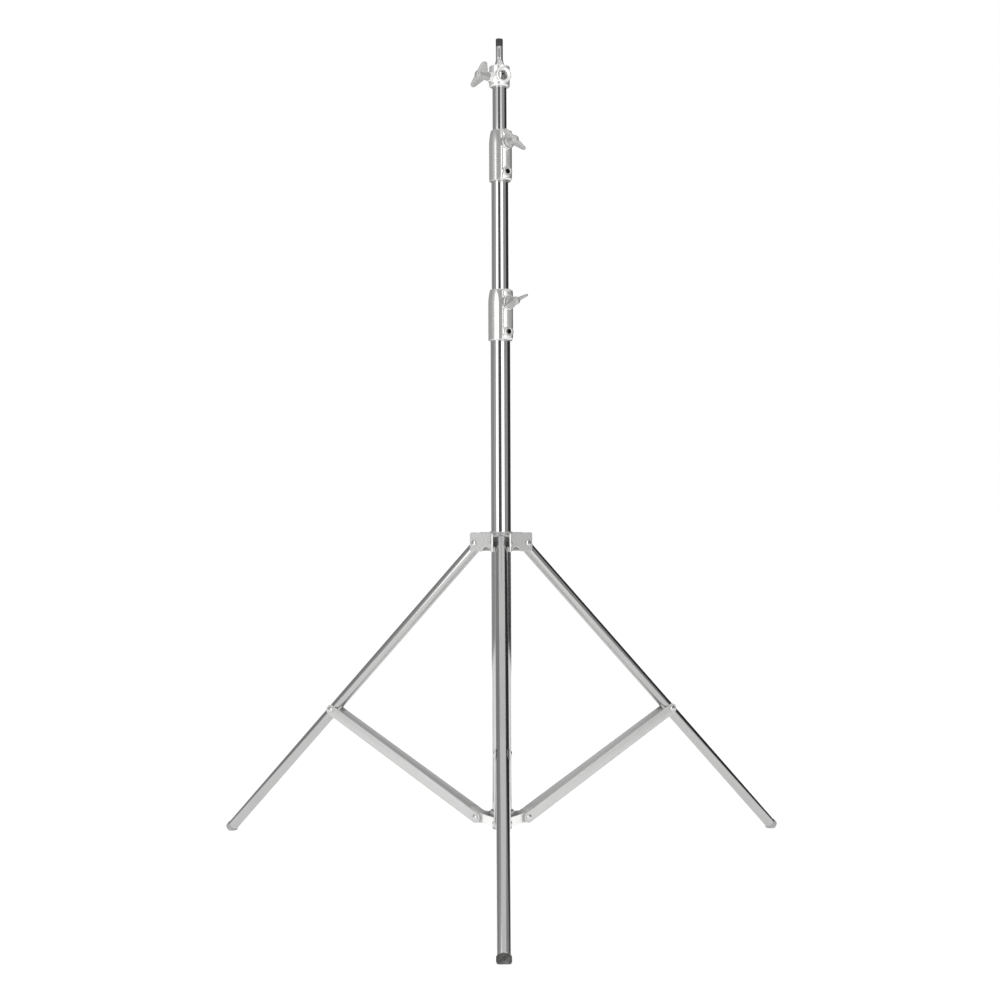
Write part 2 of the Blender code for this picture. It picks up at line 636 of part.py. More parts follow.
def leg_pin():
    """The pivot pin through a leg's top, along Y. It ends just short of the two ears."""
    half = EAR_WIDTH / 2 - EAR_PLATE - FIT
    return remould(rod("pin", LEG_PIN_RADIUS, -half, half, BORE_SIDES), ALONG_Y)


def foot():
    """A rubber plug in a leg's end, its rounded head cut flat where it stands on the floor."""
    floor = LEG_LENGTH - STRUT_JOINT_ALONG
    tube_end = floor - LEG_RADIUS * math.tan(LEG_ANGLE) - FOOT_SOLE
    neck = LEG_RADIUS - LEG_WALL - FIT
    head = tube_end + SEAT_GAP
    end = floor - FOOT_END_SHORT
    profile = [(0.0, tube_end - FOOT_NECK), (neck, tube_end - FOOT_NECK), (neck, head)]
    profile += [(FOOT_RADIUS, head)]
    profile += arc((FOOT_RADIUS - FOOT_CORNER, end - FOOT_CORNER), FOOT_CORNER, 0, 90, 4)
    profile += [(0.0, end)]
    rubber = remould(turned("foot", profile, LEG_SIDES), ALONG_X)
    size = 4 * FOOT_RADIUS
    below = prism("below", [(-size, -size), (size, -size), (size, size), (-size, size)], -size, 0.0)
    tilt = Matrix.Rotation(LEG_ANGLE - math.pi / 2, 4, "Y")
    remould(below, Matrix.Translation((floor, 0, 0)) @ tilt)
    return cut(rubber, below)


def rivet_head(seat):
    """A domed head's profile above its seat."""
    side = [(RIVET_RADIUS, seat), (RIVET_HEAD_RADIUS, seat)]
    side += [(0.9 * RIVET_HEAD_RADIUS, seat + 0.55 * RIVET_HEAD_HEIGHT)]
    side += [(0.55 * RIVET_HEAD_RADIUS, seat + 0.9 * RIVET_HEAD_HEIGHT)]
    return side + [(0.0, seat + RIVET_HEAD_HEIGHT)]


def rivet(grip):
    """A rivet along Y with a domed head each side, the heads a grip apart."""
    side = rivet_head(grip / 2)
    profile = [(r, -z) for r, z in reversed(side)] + side
    return remould(turned("rivet", profile, PIN_SIDES), ALONG_Y)


def ear_rivet():
    """The rivet that closes one ear, along Y from the leg pivot's centre."""
    inner = EAR_WIDTH / 2 - EAR_PLATE
    profile = [(0.0, inner), (RIVET_RADIUS, inner)] + rivet_head(EAR_WIDTH / 2 + FIT)
    return remould(turned("rivet", profile, PIN_SIDES), ALONG_Y)


def wedge(name, start, end, start_half, end_half, low, high):
    """A block along X whose half width changes from one end to the other."""
    outline = [(start, -start_half), (end, -end_half), (end, end_half), (start, start_half)]
    return prism(name, outline, low, high)


def strut():
    """A strut, its origin on the collar's pivot, X towards the leg and its web on the Z side."""
    collar_half = STRUT_WIDTH_AT_COLLAR / 2
    leg_half = STRUT_WIDTH_AT_LEG / 2
    slope = (leg_half - collar_half) / STRUT_LENGTH
    reach = 2 * STRUT_NOSE_RADIUS
    start = -reach
    end = STRUT_LENGTH + reach
    start_half = collar_half + slope * start
    end_half = collar_half + slope * end
    low = -STRUT_BELOW_PIVOT
    high = STRUT_ABOVE_PIVOT
    body = wedge("strut", start, end, start_half, end_half, 2 * low, 2 * high)
    middle = (low + high) / 2
    outline = arc((0.0, middle), STRUT_NOSE_RADIUS, 90, 270, 10)
    outline += arc((STRUT_LENGTH, middle), STRUT_NOSE_RADIUS, -90, 90, 10)
    side = prism("side", outline, -2 * collar_half, 2 * collar_half)
    combine(body, remould(side, UPRIGHT), "INTERSECT")
    inner_start = start_half - STRUT_SHEET
    inner_end = end_half - STRUT_SHEET
    hollow = wedge("hollow", start, end, inner_start, inner_end, 3 * low, high - STRUT_SHEET)
    cut(body, hollow)
    for place, inwards, half in ((0.0, 1, collar_half), (STRUT_LENGTH, -1, leg_half)):
        radius = half - STRUT_SHEET - STRUT_NOTCH_LIP
        centre = place + inwards * (STRUT_NOTCH_DEPTH - radius)
        far = place - inwards * reach
        notch = arc((centre, 0.0), radius, 90, -90, 10) if inwards > 0 else arc(
            (centre, 0.0), radius, 270, 90, 10)
        notch += [(far, -radius), (far, radius)] if inwards > 0 else [(far, radius), (far, -radius)]
        cut(body, prism("notch", notch, middle, 3 * high))
        pin = rod("pin", RIVET_RADIUS + FIT, -2 * collar_half, 2 * collar_half, BORE_SIDES)
        cut(body, remould(pin, Matrix.Translation((place, 0, 0)) @ ALONG_Y))
    return body


def star_outline(inset, ear_end):
    """The collar's three-lobed plan, drawn in by inset on the flanks."""
    points = []
    corner = COLLAR_CORNER_RADIUS - inset / math.cos(math.radians(30))
    half = COLLAR_EAR_HALF - inset
    flare = COLLAR_FLARE_START - inset / 2
    for azimuth in sorted(LEG_AZIMUTHS.values()):
        about = turned_about_pole(azimuth)
        for x, y in ((flare, -half), (ear_end, -half), (ear_end, half), (flare, half)):
            spot = about @ Vector((x, y, 0.0))
            points.append((spot.x, spot.y))
        spot = azimuth_vector(azimuth + 60.0) * corner
        points.append((spot.x, spot.y))
    return points


def spreader_collar():
    """The fixed collar, its origin on the pole's axis at the strut pivots' height."""
    half = COLLAR_HALF_HEIGHT
    ear_end = COLLAR_PIVOT_RADIUS + 2 * COLLAR_EAR_RADIUS
    body = prism("body", star_outline(0.0, ear_end), -half, half)
    for azimuth in LEG_AZIMUTHS.values():
        place = upright_frame(azimuth, 0.0, COLLAR_PIVOT_RADIUS)
        wide = 2 * COLLAR_EAR_HALF
        ear = COLLAR_EAR_RADIUS
        trim = prism("trim", [(0, -wide), (4 * ear, -wide), (4 * ear, wide), (0, wide)], -2 * ear, 2 * ear)
        keep = remould(rod("keep", ear, -2 * wide, 2 * wide, PIN_SIDES * 2), ALONG_Y)
        cut(trim, keep)
        cut(body, remould(trim, place))
    pocket = prism("pocket", star_outline(COLLAR_PLATE, 2 * ear_end), COLLAR_PLATE - half, 2 * half)
    cut(body, pocket)
    sleeve_radius = LOWER_RADIUS + FIT + COLLAR_SLEEVE_WALL
    sleeve = rod("sleeve", sleeve_radius, -half - OVERLAP, COLLAR_SLEEVE_TOP, POLE_SIDES)
    joined(body, sleeve)
    bore = rod("bore", LOWER_RADIUS + FIT, -4 * half, 4 * half, POLE_SIDES)
    cut(body, bore)
    for azimuth in LEG_AZIMUTHS.values():
        pin = rod("pin", RIVET_RADIUS + FIT, -2 * COLLAR_EAR_HALF, 2 * COLLAR_EAR_HALF, BORE_SIDES)
        cut(body, remould(pin, upright_frame(azimuth, 0.0, COLLAR_PIVOT_RADIUS) @ ALONG_Y))
    return body


def sliding_bush(tube_radius, outer_radius):
    """The bush under a sliding tube, z = 0 at the tube's lower end."""
    neck = tube_radius - TUBE_WALL - FIT
    bore = neck - BUSH_WALL
    low = -SEAT_GAP - BUSH_HEIGHT
    profile = [(bore, low), (outer_radius, low), (outer_radius, -SEAT_GAP), (neck, -SEAT_GAP)]
    profile += [(neck, BUSH_NECK), (bore, BUSH_NECK)]
    return turned("bush", profile, POLE_SIDES)


def end_plug():
    """The plug under the lower tube, z = 0 at the tube's lower end."""
    neck = LOWER_RADIUS - TUBE_WALL - FIT
    low = -SEAT_GAP - END_PLUG_FLANGE
    profile = [(0.0, low), (LOWER_RADIUS - FIT, low), (LOWER_RADIUS - FIT, -SEAT_GAP)]
    profile += [(neck, -SEAT_GAP), (neck, END_PLUG_NECK), (0.0, END_PLUG_NECK)]
    return turned("plug", profile, POLE_SIDES)


def build():
    """Make every piece and hang it in the stand's tree of joints."""
    steel = finish("brushed_stainless", (0.62, 0.62, 0.62), 0.22, 1.0)
    satin = finish("satin_stainless", (0.68, 0.68, 0.68), 0.38, 1.0)
    cast = finish("cast_silver", (0.72, 0.72, 0.71), 0.42, 0.9)
    sheet = finish("pressed_sheet", (0.75, 0.75, 0.74), 0.45, 0.85)
    bright = finish("bright_steel", (0.7, 0.7, 0.7), 0.15, 1.0)
    brass = finish("brass", (0.75, 0.6, 0.3), 0.35, 1.0)
    plastic = finish("black_plastic", (0.03, 0.03, 0.03), 0.5, 0.0)
    rubber = finish("black_rubber", (0.035, 0.035, 0.035), 0.8, 0.0)
    pale_rubber = finish("grey_rubber", (0.42, 0.42, 0.42), 0.8, 0.0)

    def at(height):
        return Matrix.Translation((0, 0, height))

    base = empty("stand", Matrix.Identity(4))

    # Lower section, which is fixed
    lower_inner = LOWER_RADIUS - TUBE_WALL
    piece = tube("tube", LOWER_RADIUS, lower_inner, 0.0, LOWER_TUBE_LENGTH, POLE_SIDES)
    fit_piece(piece, "lower_tube", steel, at(LOWER_TUBE_BOTTOM), base)
    fit_piece(end_plug(), "lower_tube_plug", plastic, at(LOWER_TUBE_BOTTOM), base)
    sleeve_outer = lower_inner - FIT
    sleeve = tube("sleeve", sleeve_outer, MIDDLE_RADIUS + FIT, -GUIDE_SLEEVE_LENGTH, 0.0, POLE_SIDES)
    fit_piece(sleeve, "lower_guide_sleeve", plastic, at(LOWER_TUBE_TOP), base)
    fit_piece(spreader_collar(), "spreader_collar", cast, at(COLLAR_PIVOT_HEIGHT), base)

    # Middle section
    middle = empty("middle_section", at(UPPER_CLAMP_BOTTOM), base)
    middle_inner = MIDDLE_RADIUS - TUBE_WALL
    piece = tube("tube", MIDDLE_RADIUS, middle_inner, 0.0, MIDDLE_TUBE_LENGTH, POLE_SIDES)
    fit_piece(piece, "middle_tube", steel, at(MIDDLE_TUBE_BOTTOM), middle)
    piece = sliding_bush(MIDDLE_RADIUS, lower_inner - FIT)
    fit_piece(piece, "middle_tube_bush", plastic, at(MIDDLE_TUBE_BOTTOM), middle)
    sleeve_outer = middle_inner - FIT
    sleeve = tube("sleeve", sleeve_outer, TOP_RADIUS + FIT, -GUIDE_SLEEVE_LENGTH, 0.0, POLE_SIDES)
    fit_piece(sleeve, "upper_guide_sleeve", plastic, at(MIDDLE_TUBE_TOP), middle)

    # Top section
    top = empty("top_section", at(HEAD_BOTTOM), middle)
    piece = tube("tube", TOP_RADIUS, TOP_RADIUS - TUBE_WALL, 0.0, TOP_TUBE_LENGTH, POLE_SIDES)
    fit_piece(piece, "top_tube", steel, at(TOP_TUBE_BOTTOM), top)
    piece = sliding_bush(TOP_RADIUS, middle_inner - FIT)
    fit_piece(piece, "top_tube_bush", plastic, at(TOP_TUBE_BOTTOM), top)
    fit_piece(head_casting(), "head", cast, at(HEAD_BOTTOM), top)
    spigot_rim = HEAD_BOTTOM + HEAD_HEIGHT + SEAT_GAP
    fit_piece(spigot(), "spigot", bright, at(spigot_rim), top)
    fit_piece(spigot_cap(), "spigot_cap", plastic, at(spigot_rim + SPIGOT_HEIGHT + SEAT_GAP), top)

    # Both clamps, each with its set screw, pad, screw and knob
    clamps = (
        ("lower", LOWER_CLAMP_BOTTOM, LOWER_RADIUS, MIDDLE_RADIUS, LOWER_KNOB_ROLL, base),
        ("upper", UPPER_CLAMP_BOTTOM, MIDDLE_RADIUS, TOP_RADIUS, UPPER_KNOB_ROLL, middle),
    )
    for label, bottom, seat_radius, slide_radius, roll, owner in clamps:
        place = upright_frame(CLAMP_AZIMUTH, bottom)
        casting = clamp_casting(seat_radius, slide_radius)
        fit_piece(casting, f"{label}_clamp", cast, place, owner)
        set_place = upright_frame(CLAMP_AZIMUTH, bottom + SET_BOSS_HEIGHT)
        fit_piece(set_screw(seat_radius), f"{label}_clamp_set_screw", bright, set_place, owner)
        knob_height = bottom + KNOB_BOSS_HEIGHT
        pad_place = upright_frame(CLAMP_AZIMUTH, knob_height)
        fit_piece(clamp_pad(slide_radius), f"{label}_clamp_pad", brass, pad_place, owner)
        knob_base = seat_radius + CLAMP_WALL + RIB_DEPTH + KNOB_BOSS_DEPTH + KNOB_GAP
        joint_place = upright_frame(CLAMP_AZIMUTH, knob_height, knob_base)
        joint_place = joint_place @ Matrix.Rotation(math.radians(roll), 4, "X")
        joint = empty(f"{label}_clamp_knob_joint", joint_place, owner)
        fit_piece(wing_knob(KNOB_BASE_RADIUS), f"{label}_clamp_knob", cast, joint_place, joint)
        tip = slide_radius + FIT + PAD_THICKNESS + SEAT_GAP
        screw = clamp_screw(tip, knob_base)
        fit_piece(screw, f"{label}_clamp_screw", bright, joint_place, joint)

    # Head knob, which holds the spigot
    knob_base = HEAD_BOSS_REACH + KNOB_GAP
    joint_place = upright_frame(HEAD_KNOB_AZIMUTH, HEAD_BOTTOM + HEAD_KNOB_HEIGHT, knob_base)
    joint_place = joint_place @ Matrix.Rotation(math.radians(HEAD_KNOB_ROLL), 4, "X")
    joint = empty("head_knob_joint", joint_place, top)
    fit_piece(wing_knob(HEAD_KNOB_BASE_RADIUS), "head_knob", cast, joint_place, joint)
    screw = clamp_screw(SPIGOT_RADIUS + SEAT_GAP, knob_base)
    fit_piece(screw, "head_knob_screw", bright, joint_place, joint)

    # Leg bracket and its knob
    slider = empty("bracket_slide", at(BRACKET_HEIGHT), base)
    fit_piece(leg_bracket(), "leg_bracket", cast, at(BRACKET_HEIGHT), slider)
    place = upright_frame(BRACKET_BOSS_AZIMUTH, BRACKET_HEIGHT)
    fit_piece(clamp_pad(LOWER_RADIUS), "bracket_pad", brass, place, slider)
    knob_base = BRACKET_BOSS_REACH + KNOB_GAP
    joint_place = upright_frame(BRACKET_BOSS_AZIMUTH, BRACKET_HEIGHT, knob_base)
    joint_place = joint_place @ Matrix.Rotation(math.radians(BRACKET_KNOB_ROLL), 4, "X")
    joint = empty("bracket_knob_joint", joint_place, slider)
    fit_piece(wing_knob(HEAD_KNOB_BASE_RADIUS), "bracket_knob", cast, joint_place, joint)
    tip = LOWER_RADIUS + FIT + PAD_THICKNESS + SEAT_GAP
    fit_piece(clamp_screw(tip, knob_base), "bracket_knob_screw", bright, joint_place, joint)

    # Struts and legs, one set for each azimuth
    strut_first = fit_piece(strut(), "strut_front", sheet, Matrix.Identity(4), None)
    leg_first = fit_piece(leg_tube(), "leg_front", satin, Matrix.Identity(4), None)
    plug_first = fit_piece(leg_plug(), "leg_plug_front", plastic, Matrix.Identity(4), None)
    pin_first = fit_piece(leg_pin(), "leg_pin_front", plastic, Matrix.Identity(4), None)
    foot_first = fit_piece(foot(), "foot_front", rubber, Matrix.Identity(4), None)
    collar_grip = STRUT_WIDTH_AT_COLLAR + 2 * FIT
    collar_rivet = fit_piece(rivet(collar_grip), "collar_rivet_front", bright, Matrix.Identity(4), None)
    strut_grip = STRUT_WIDTH_AT_LEG + 2 * FIT
    strut_rivet = fit_piece(rivet(strut_grip), "strut_rivet_front", bright, Matrix.Identity(4), None)
    ear_first = fit_piece(ear_rivet(), "ear_rivet_front_a", bright, Matrix.Identity(4), None)

    for label, azimuth in LEG_AZIMUTHS.items():
        outwards = azimuth_vector(azimuth)
        upwards = Vector((0, 0, 1))
        collar_pivot = outwards * COLLAR_PIVOT_RADIUS + upwards * COLLAR_PIVOT_HEIGHT
        along_strut = outwards * STRUT_RUN + upwards * STRUT_RISE
        strut_place = frame(collar_pivot, along_strut, upwards)
        strut_joint = empty(f"strut_{label}_joint", strut_place, base)
        leg_pivot = outwards * STRUT_JOINT_RADIUS + upwards * STRUT_JOINT_HEIGHT
        along_leg = outwards * math.sin(LEG_ANGLE) - upwards * math.cos(LEG_ANGLE)
        leg_place = frame(leg_pivot, along_leg, upwards)
        leg_joint = empty(f"leg_{label}_joint", leg_place, strut_joint)
        top_place = leg_place @ Matrix.Translation((-STRUT_JOINT_ALONG, 0, 0))
        ear_place = upright_frame(azimuth, BRACKET_HEIGHT, LEG_PIVOT_RADIUS)
        other_ear_place = ear_place @ Matrix.Rotation(math.pi, 4, "Z")
        pieces = (
            (strut_first, f"strut_{label}", strut_place, strut_joint),
            (leg_first, f"leg_{label}", leg_place, leg_joint),
            (plug_first, f"leg_plug_{label}", top_place, leg_joint),
            (pin_first, f"leg_pin_{label}", top_place, leg_joint),
            (foot_first, f"foot_{label}", leg_place, leg_joint),
            (collar_rivet, f"collar_rivet_{label}", strut_place, base),
            (strut_rivet, f"strut_rivet_{label}", leg_place, leg_joint),
            (ear_first, f"ear_rivet_{label}_a", ear_place, slider),
            (ear_first, f"ear_rivet_{label}_b", other_ear_place, slider),
        )
        for first, name, place, owner in pieces:
            if first.name == name:
                hang(first, place, owner)
                continue
            made = copy_piece(first, name, place, owner)
            if first == foot_first:
                made.material_slots[0].link = "OBJECT"
                made.material_slots[0].material = pale_rubber

    # Bring the footprint's middle over the origin
    bpy.context.view_layer.update()
    pieces = [obj for obj in bpy.data.objects if obj.type == "MESH"]
    depths = [(obj.matrix_world @ v.co).y for obj in pieces for v in obj.data.vertices]
    base.location.y = -(min(depths) + max(depths)) / 2


clear_scene()
build()
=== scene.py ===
# %% [markdown]
# # Dressing a telescoping light stand
# The stand is a steel pole of three tubes on three folding legs. The solids, with every joint,
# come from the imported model. This notebook gives them their finished surfaces: drawn steel,
# painted castings, pressed braces, plated screws and rubber feet, in a white studio.

# %% Load the solids and note their box
import json
import math

import bmesh
import bpy
import numpy as np
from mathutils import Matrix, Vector


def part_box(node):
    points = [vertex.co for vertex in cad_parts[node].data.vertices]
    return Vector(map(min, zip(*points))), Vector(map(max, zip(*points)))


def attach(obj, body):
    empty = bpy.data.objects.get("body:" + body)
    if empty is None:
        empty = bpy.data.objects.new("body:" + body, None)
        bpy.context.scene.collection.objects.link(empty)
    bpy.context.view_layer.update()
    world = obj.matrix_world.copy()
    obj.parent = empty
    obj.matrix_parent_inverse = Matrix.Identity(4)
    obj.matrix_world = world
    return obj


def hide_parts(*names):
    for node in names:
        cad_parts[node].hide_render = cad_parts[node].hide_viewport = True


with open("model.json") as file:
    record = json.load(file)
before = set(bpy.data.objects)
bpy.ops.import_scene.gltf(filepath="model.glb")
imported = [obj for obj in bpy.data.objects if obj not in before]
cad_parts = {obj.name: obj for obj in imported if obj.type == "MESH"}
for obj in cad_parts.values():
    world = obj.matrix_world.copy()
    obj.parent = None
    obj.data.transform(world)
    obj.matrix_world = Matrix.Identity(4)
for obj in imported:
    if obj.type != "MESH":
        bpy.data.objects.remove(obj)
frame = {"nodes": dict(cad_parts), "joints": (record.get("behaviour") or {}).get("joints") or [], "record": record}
nodes = frame["nodes"]
joints = {joint["name"]: joint for joint in frame["joints"]}
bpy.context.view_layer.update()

# %% [markdown]
# ## Measures
# Everything is placed from the pole's axis, which the lower tube's box gives. Directions round
# the pole are angles from the front, where the viewer stands, towards the right.

# %% Measures shared by several pieces
MM = 0.001


def middle_of(node):
    """The middle of a solid's box."""
    low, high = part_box(node)
    return (np.array(low) + np.array(high)) / 2


def span_z(node):
    """A solid's lowest and highest height."""
    low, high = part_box(node)
    return low.z, high.z


def direction(azimuth):
    """A level direction, azimuth degrees from the front towards the right."""
    turn = math.radians(azimuth)
    return np.array((math.sin(turn), -math.cos(turn), 0.0))


POLE = middle_of("lower_tube") * (1, 1, 0)
LEGS = {"front": 0.0, "right": 120.0, "left": -120.0}
LOWER_RADIUS = 17.5 * MM
MIDDLE_RADIUS = 15.0 * MM
TOP_RADIUS = 12.5 * MM
TUBE_WALL = 1.2 * MM
LEG_RADIUS = 10.5 * MM
FIT = 0.3 * MM
UP = (0, 0, 1)
SHARP_FROM = math.radians(38)
print("pole axis", POLE)

# %% [markdown]
# ## Surfaces from numbers
# A turned piece is a profile of (radius, height) points carried round an axis. The point at
# profile step i and turn u is (r_i cos u, r_i sin u, z_i). Corners are softened first: each is
# replaced by a short curve (1-t)^2 a + 2t(1-t) c + t^2 b between points a and b beside corner c,
# because a real edge is never sharp and a rounded one catches the light.

# %% Frames, meshes and turned pieces


def axes_at(origin, forward):
    """A 4x4 frame at origin, its X along forward and its Z as near to upright as it can be."""
    x_axis = np.array(forward, float) / np.linalg.norm(forward)
    y_axis = np.cross(UP, x_axis)
    y_axis /= np.linalg.norm(y_axis)
    place = np.eye(4)
    place[:3, 0] = x_axis
    place[:3, 1] = y_axis
    place[:3, 2] = np.cross(x_axis, y_axis)
    place[:3, 3] = origin
    return place


def along(origin, axis):
    """A 4x4 frame at origin whose Z lies along axis, for pieces turned about Z."""
    z_axis = np.array(axis, float) / np.linalg.norm(axis)
    helper = UP if abs(z_axis[2]) < 0.9 else (1, 0, 0)
    x_axis = np.cross(helper, z_axis)
    x_axis /= np.linalg.norm(x_axis)
    place = np.eye(4)
    place[:3, 0] = x_axis
    place[:3, 1] = np.cross(z_axis, x_axis)
    place[:3, 2] = z_axis
    place[:3, 3] = origin
    return place


def carried(points, place):
    """Points moved by a 4x4 frame."""
    return points @ place[:3, :3].T + place[:3, 3]


def softened(profile, size, steps=4, closed=False):
    """A profile whose corners are short curves that start at most size from each corner."""
    spots = np.array(profile, float)
    before = np.roll(spots, 1, 0)
    after = np.roll(spots, -1, 0)
    reach_in = np.linalg.norm(before - spots, axis=1)
    reach_out = np.linalg.norm(after - spots, axis=1)
    reach = np.minimum(size, 0.45 * np.minimum(reach_in, reach_out))[:, None]
    start = spots + (before - spots) / reach_in[:, None] * reach
    end = spots + (after - spots) / reach_out[:, None] * reach
    t = np.linspace(0, 1, steps + 1)[None, :, None]
    curve = (1 - t) ** 2 * start[:, None] + 2 * t * (1 - t) * spots[:, None] + t**2 * end[:, None]
    if closed:
        return curve.reshape(-1, 2)
    inner = curve[1:-1].reshape(-1, 2)
    return np.vstack((spots[:1], inner, spots[-1:]))


def grid_mesh(name, grid, own=None, close_rows=False):
    """A skin over a (rows, columns, 3) grid whose columns run all the way round.

    own is the grid before it was placed. It is kept as an attribute, so that a finish can follow
    the piece however it is turned. Doubles at poles are merged, and faces are turned outwards.
    """
    rows, columns = grid.shape[:2]
    number = np.arange(rows * columns).reshape(rows, columns)
    if close_rows:
        number = np.vstack((number, number[:1]))
    right = np.roll(number, -1, 1)
    quads = np.stack((number[:-1], right[:-1], right[1:], number[1:]), -1).reshape(-1, 4)
    mesh = bpy.data.meshes.new(name)
    mesh.from_pydata(grid.reshape(-1, 3), [], quads)
    kept = mesh.attributes.new("own", "FLOAT_VECTOR", "POINT")
    kept.data.foreach_set("vector", (grid if own is None else own).reshape(-1).astype(np.float32))
    work = bmesh.new()
    work.from_mesh(mesh)
    bmesh.ops.remove_doubles(work, verts=work.verts, dist=1e-6)
    bmesh.ops.recalc_face_normals(work, faces=work.faces)
    work.to_mesh(mesh)
    work.free()
    return shown(name, mesh)


def shown(name, mesh):
    """An object of a mesh, shaded smooth between its sharp edges."""
    mesh.shade_smooth()
    mesh.set_sharp_from_angle(angle=SHARP_FROM)
    piece = bpy.data.objects.new(name, mesh)
    bpy.context.scene.collection.objects.link(piece)
    return piece


def turned(name, profile, place, sides, closed=False):
    """A surface of revolution: (r_i cos u, r_i sin u, z_i), then placed."""
    radius, height = np.array(profile, float).T
    turn = np.linspace(0, 2 * np.pi, sides, endpoint=False)
    own = np.stack((np.outer(radius, np.cos(turn)), np.outer(radius, np.sin(turn)),
                    np.repeat(height[:, None], sides, 1)), -1)
    return grid_mesh(name, carried(own, place), own, closed)


def fitted(piece, body, slot, look, *replaced):
    """Dress a piece, let it move with a body, and let it stand for the solids it replaces."""
    piece.data.materials.clear()
    piece.data.materials.append(look)
    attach(piece, body)
    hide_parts(*replaced)
    return piece


print("helpers ready")

# %% [markdown]
# ## Shader sums
# A material is a graph, but its sums read better as Python. One class wraps a socket, so that
# 0.2 + 0.1 * noise adds the Math nodes by itself. Another holds one material and adds any other
# node from its type, settings and socket values.

# %% Two small classes for shader nodes


class Value:
    """A shader socket that Python's own operators work on."""

    def __init__(self, tree, socket):
        self.tree = tree
        self.socket = socket

    def sum(self, operation, *values):
        made = self.tree.nodes.new("ShaderNodeMath")
        made.operation = operation
        for entry, value in zip(made.inputs, values):
            if isinstance(value, Value):
                self.tree.links.new(value.socket, entry)
            else:
                entry.default_value = value
        return Value(self.tree, made.outputs[0])

    def __add__(self, other):
        return self.sum("ADD", self, other)

    __radd__ = __add__

    def __sub__(self, other):
        return self.sum("SUBTRACT", self, other)

    def __rsub__(self, other):
        return self.sum("SUBTRACT", other, self)

    def __mul__(self, other):
        return self.sum("MULTIPLY", self, other)

    __rmul__ = __mul__

    def step(self, low, high):
        """0 below low, 1 above high, and smooth between them."""
        made = self.tree.nodes.new("ShaderNodeMapRange")
        made.interpolation_type = "SMOOTHSTEP"
        made.inputs["From Min"].default_value = low
        made.inputs["From Max"].default_value = high
        self.tree.links.new(self.socket, made.inputs["Value"])
        return Value(self.tree, made.outputs[0])


class Finish:
    """One material, its Principled shader, and a method that adds any other node."""

    def __init__(self, name, **constants):
        self.material = bpy.data.materials.new(name)
        self.material.use_nodes = True
        self.tree = self.material.node_tree
        self.shader = self.tree.nodes["Principled BSDF"]
        for socket, value in constants.items():
            self.shader.inputs[socket.replace("_", " ")].default_value = value

    def node(self, kind, settings=(), values=(), out=0):
        made = self.tree.nodes.new(kind)
        for key, value in dict(settings).items():
            setattr(made, key, value)
        for key, value in dict(values).items():
            if isinstance(value, Value):
                self.tree.links.new(value.socket, made.inputs[key])
            else:
                made.inputs[key].default_value = value
        return Value(self.tree, made.outputs[out])

    def place(self, own=False):
        """Where a point is: on the piece as it was made, or in the object."""
        if own:
            return self.node("ShaderNodeAttribute", {"attribute_name": "own"}, out=1)
        return self.node("ShaderNodeTexCoord", out=3)

    def noise(self, place, stretch, detail=3.0, rough=0.55):
        """Noise with stretch waves per metre along each axis."""
        scaled = self.vector("MULTIPLY", place, stretch)
        return self.node("ShaderNodeTexNoise", values={
            "Vector": scaled, "Scale": 1.0, "Detail": detail, "Roughness": rough})

    def vector(self, operation, *values, out=0):
        """A sum on vectors, by Vector Math's own names. Its second output is a number."""
        return self.node("ShaderNodeVectorMath", {"operation": operation}, dict(enumerate(values)), out)

    def blend(self, share, first, second):
        """A colour between two colours."""
        values = {0: share, 6: first, 7: second}
        return self.node("ShaderNodeMix", {"data_type": "RGBA"}, values, out=2)

    def bumped(self, *layers):
        """Normals tilted by several (height, distance) layers, one after the other."""
        normal = None
        for height, distance in layers:
            values = {"Height": height, "Distance": distance}
            if normal is not None:
                values["Normal"] = normal
            normal = self.node("ShaderNodeBump", {}, values)
        return normal

    def feed(self, **sockets):
        """Link values into the Principled shader."""
        for socket, value in sockets.items():
            self.tree.links.new(value.socket, self.shader.inputs[socket.replace("_", " ")])
        return self.material


print("shader classes ready")

# %% [markdown]
# ## Steel tubes
# The pole is polished stainless tube. It is drawn through a die, so its finest marks run along
# it, and the sections leave faint rubbed bands as they slide. The legs are the same tube with a
# duller, satin finish. Both patterns follow the piece's own axis, which the attribute keeps.

# %% Steel finishes


def drawn_steel(name, tint, dull, roughness, spread, lines):
    """Tube with long drawing lines, soft smudges and a little variation in tone."""
    steel = Finish(name, Metallic=1.0)
    spot = steel.place(own=True)
    streaks = steel.noise(spot, (900.0, 900.0, 5.0), 4.0)
    fine = steel.noise(spot, (3200.0, 3200.0, 18.0), 2.0)
    smudge = steel.noise(spot, (22.0, 22.0, 9.0), 3.0)
    patch = smudge.step(0.42, 0.7)
    tone = steel.blend(0.55 * streaks + 0.45 * patch, tint, dull)
    gloss = roughness + spread * streaks + 0.6 * spread * patch
    normal = steel.bumped((streaks, lines), (fine, 0.4 * lines))
    return steel.feed(Base_Color=tone, Roughness=gloss, Normal=normal)


POLISHED = drawn_steel("polished_tube", (0.62, 0.62, 0.62, 1), (0.52, 0.52, 0.525, 1), 0.05, 0.07, 3e-6)
SATIN = drawn_steel("satin_tube", (0.49, 0.49, 0.485, 1), (0.42, 0.42, 0.42, 1), 0.12, 0.09, 3e-6)
print("steel", POLISHED.name, SATIN.name)

# %% [markdown]
# ## Cast and pressed parts
# The clamps, head, bracket, collar and knobs are aluminium castings under silver paint. Such
# paint is half metal: it has tiny flakes, a soft sheen and a slight orange-peel texture from the
# casting's grain. The kinds of castings were painted in batches that differ in tone and gloss.
# The braces are pressed sheet with a smoother coat. The bracket's ear ends, and like faces on the collar, carry a
# painted highlight.

# %% Silver paints
HUB_REACH = 25.0 * MM


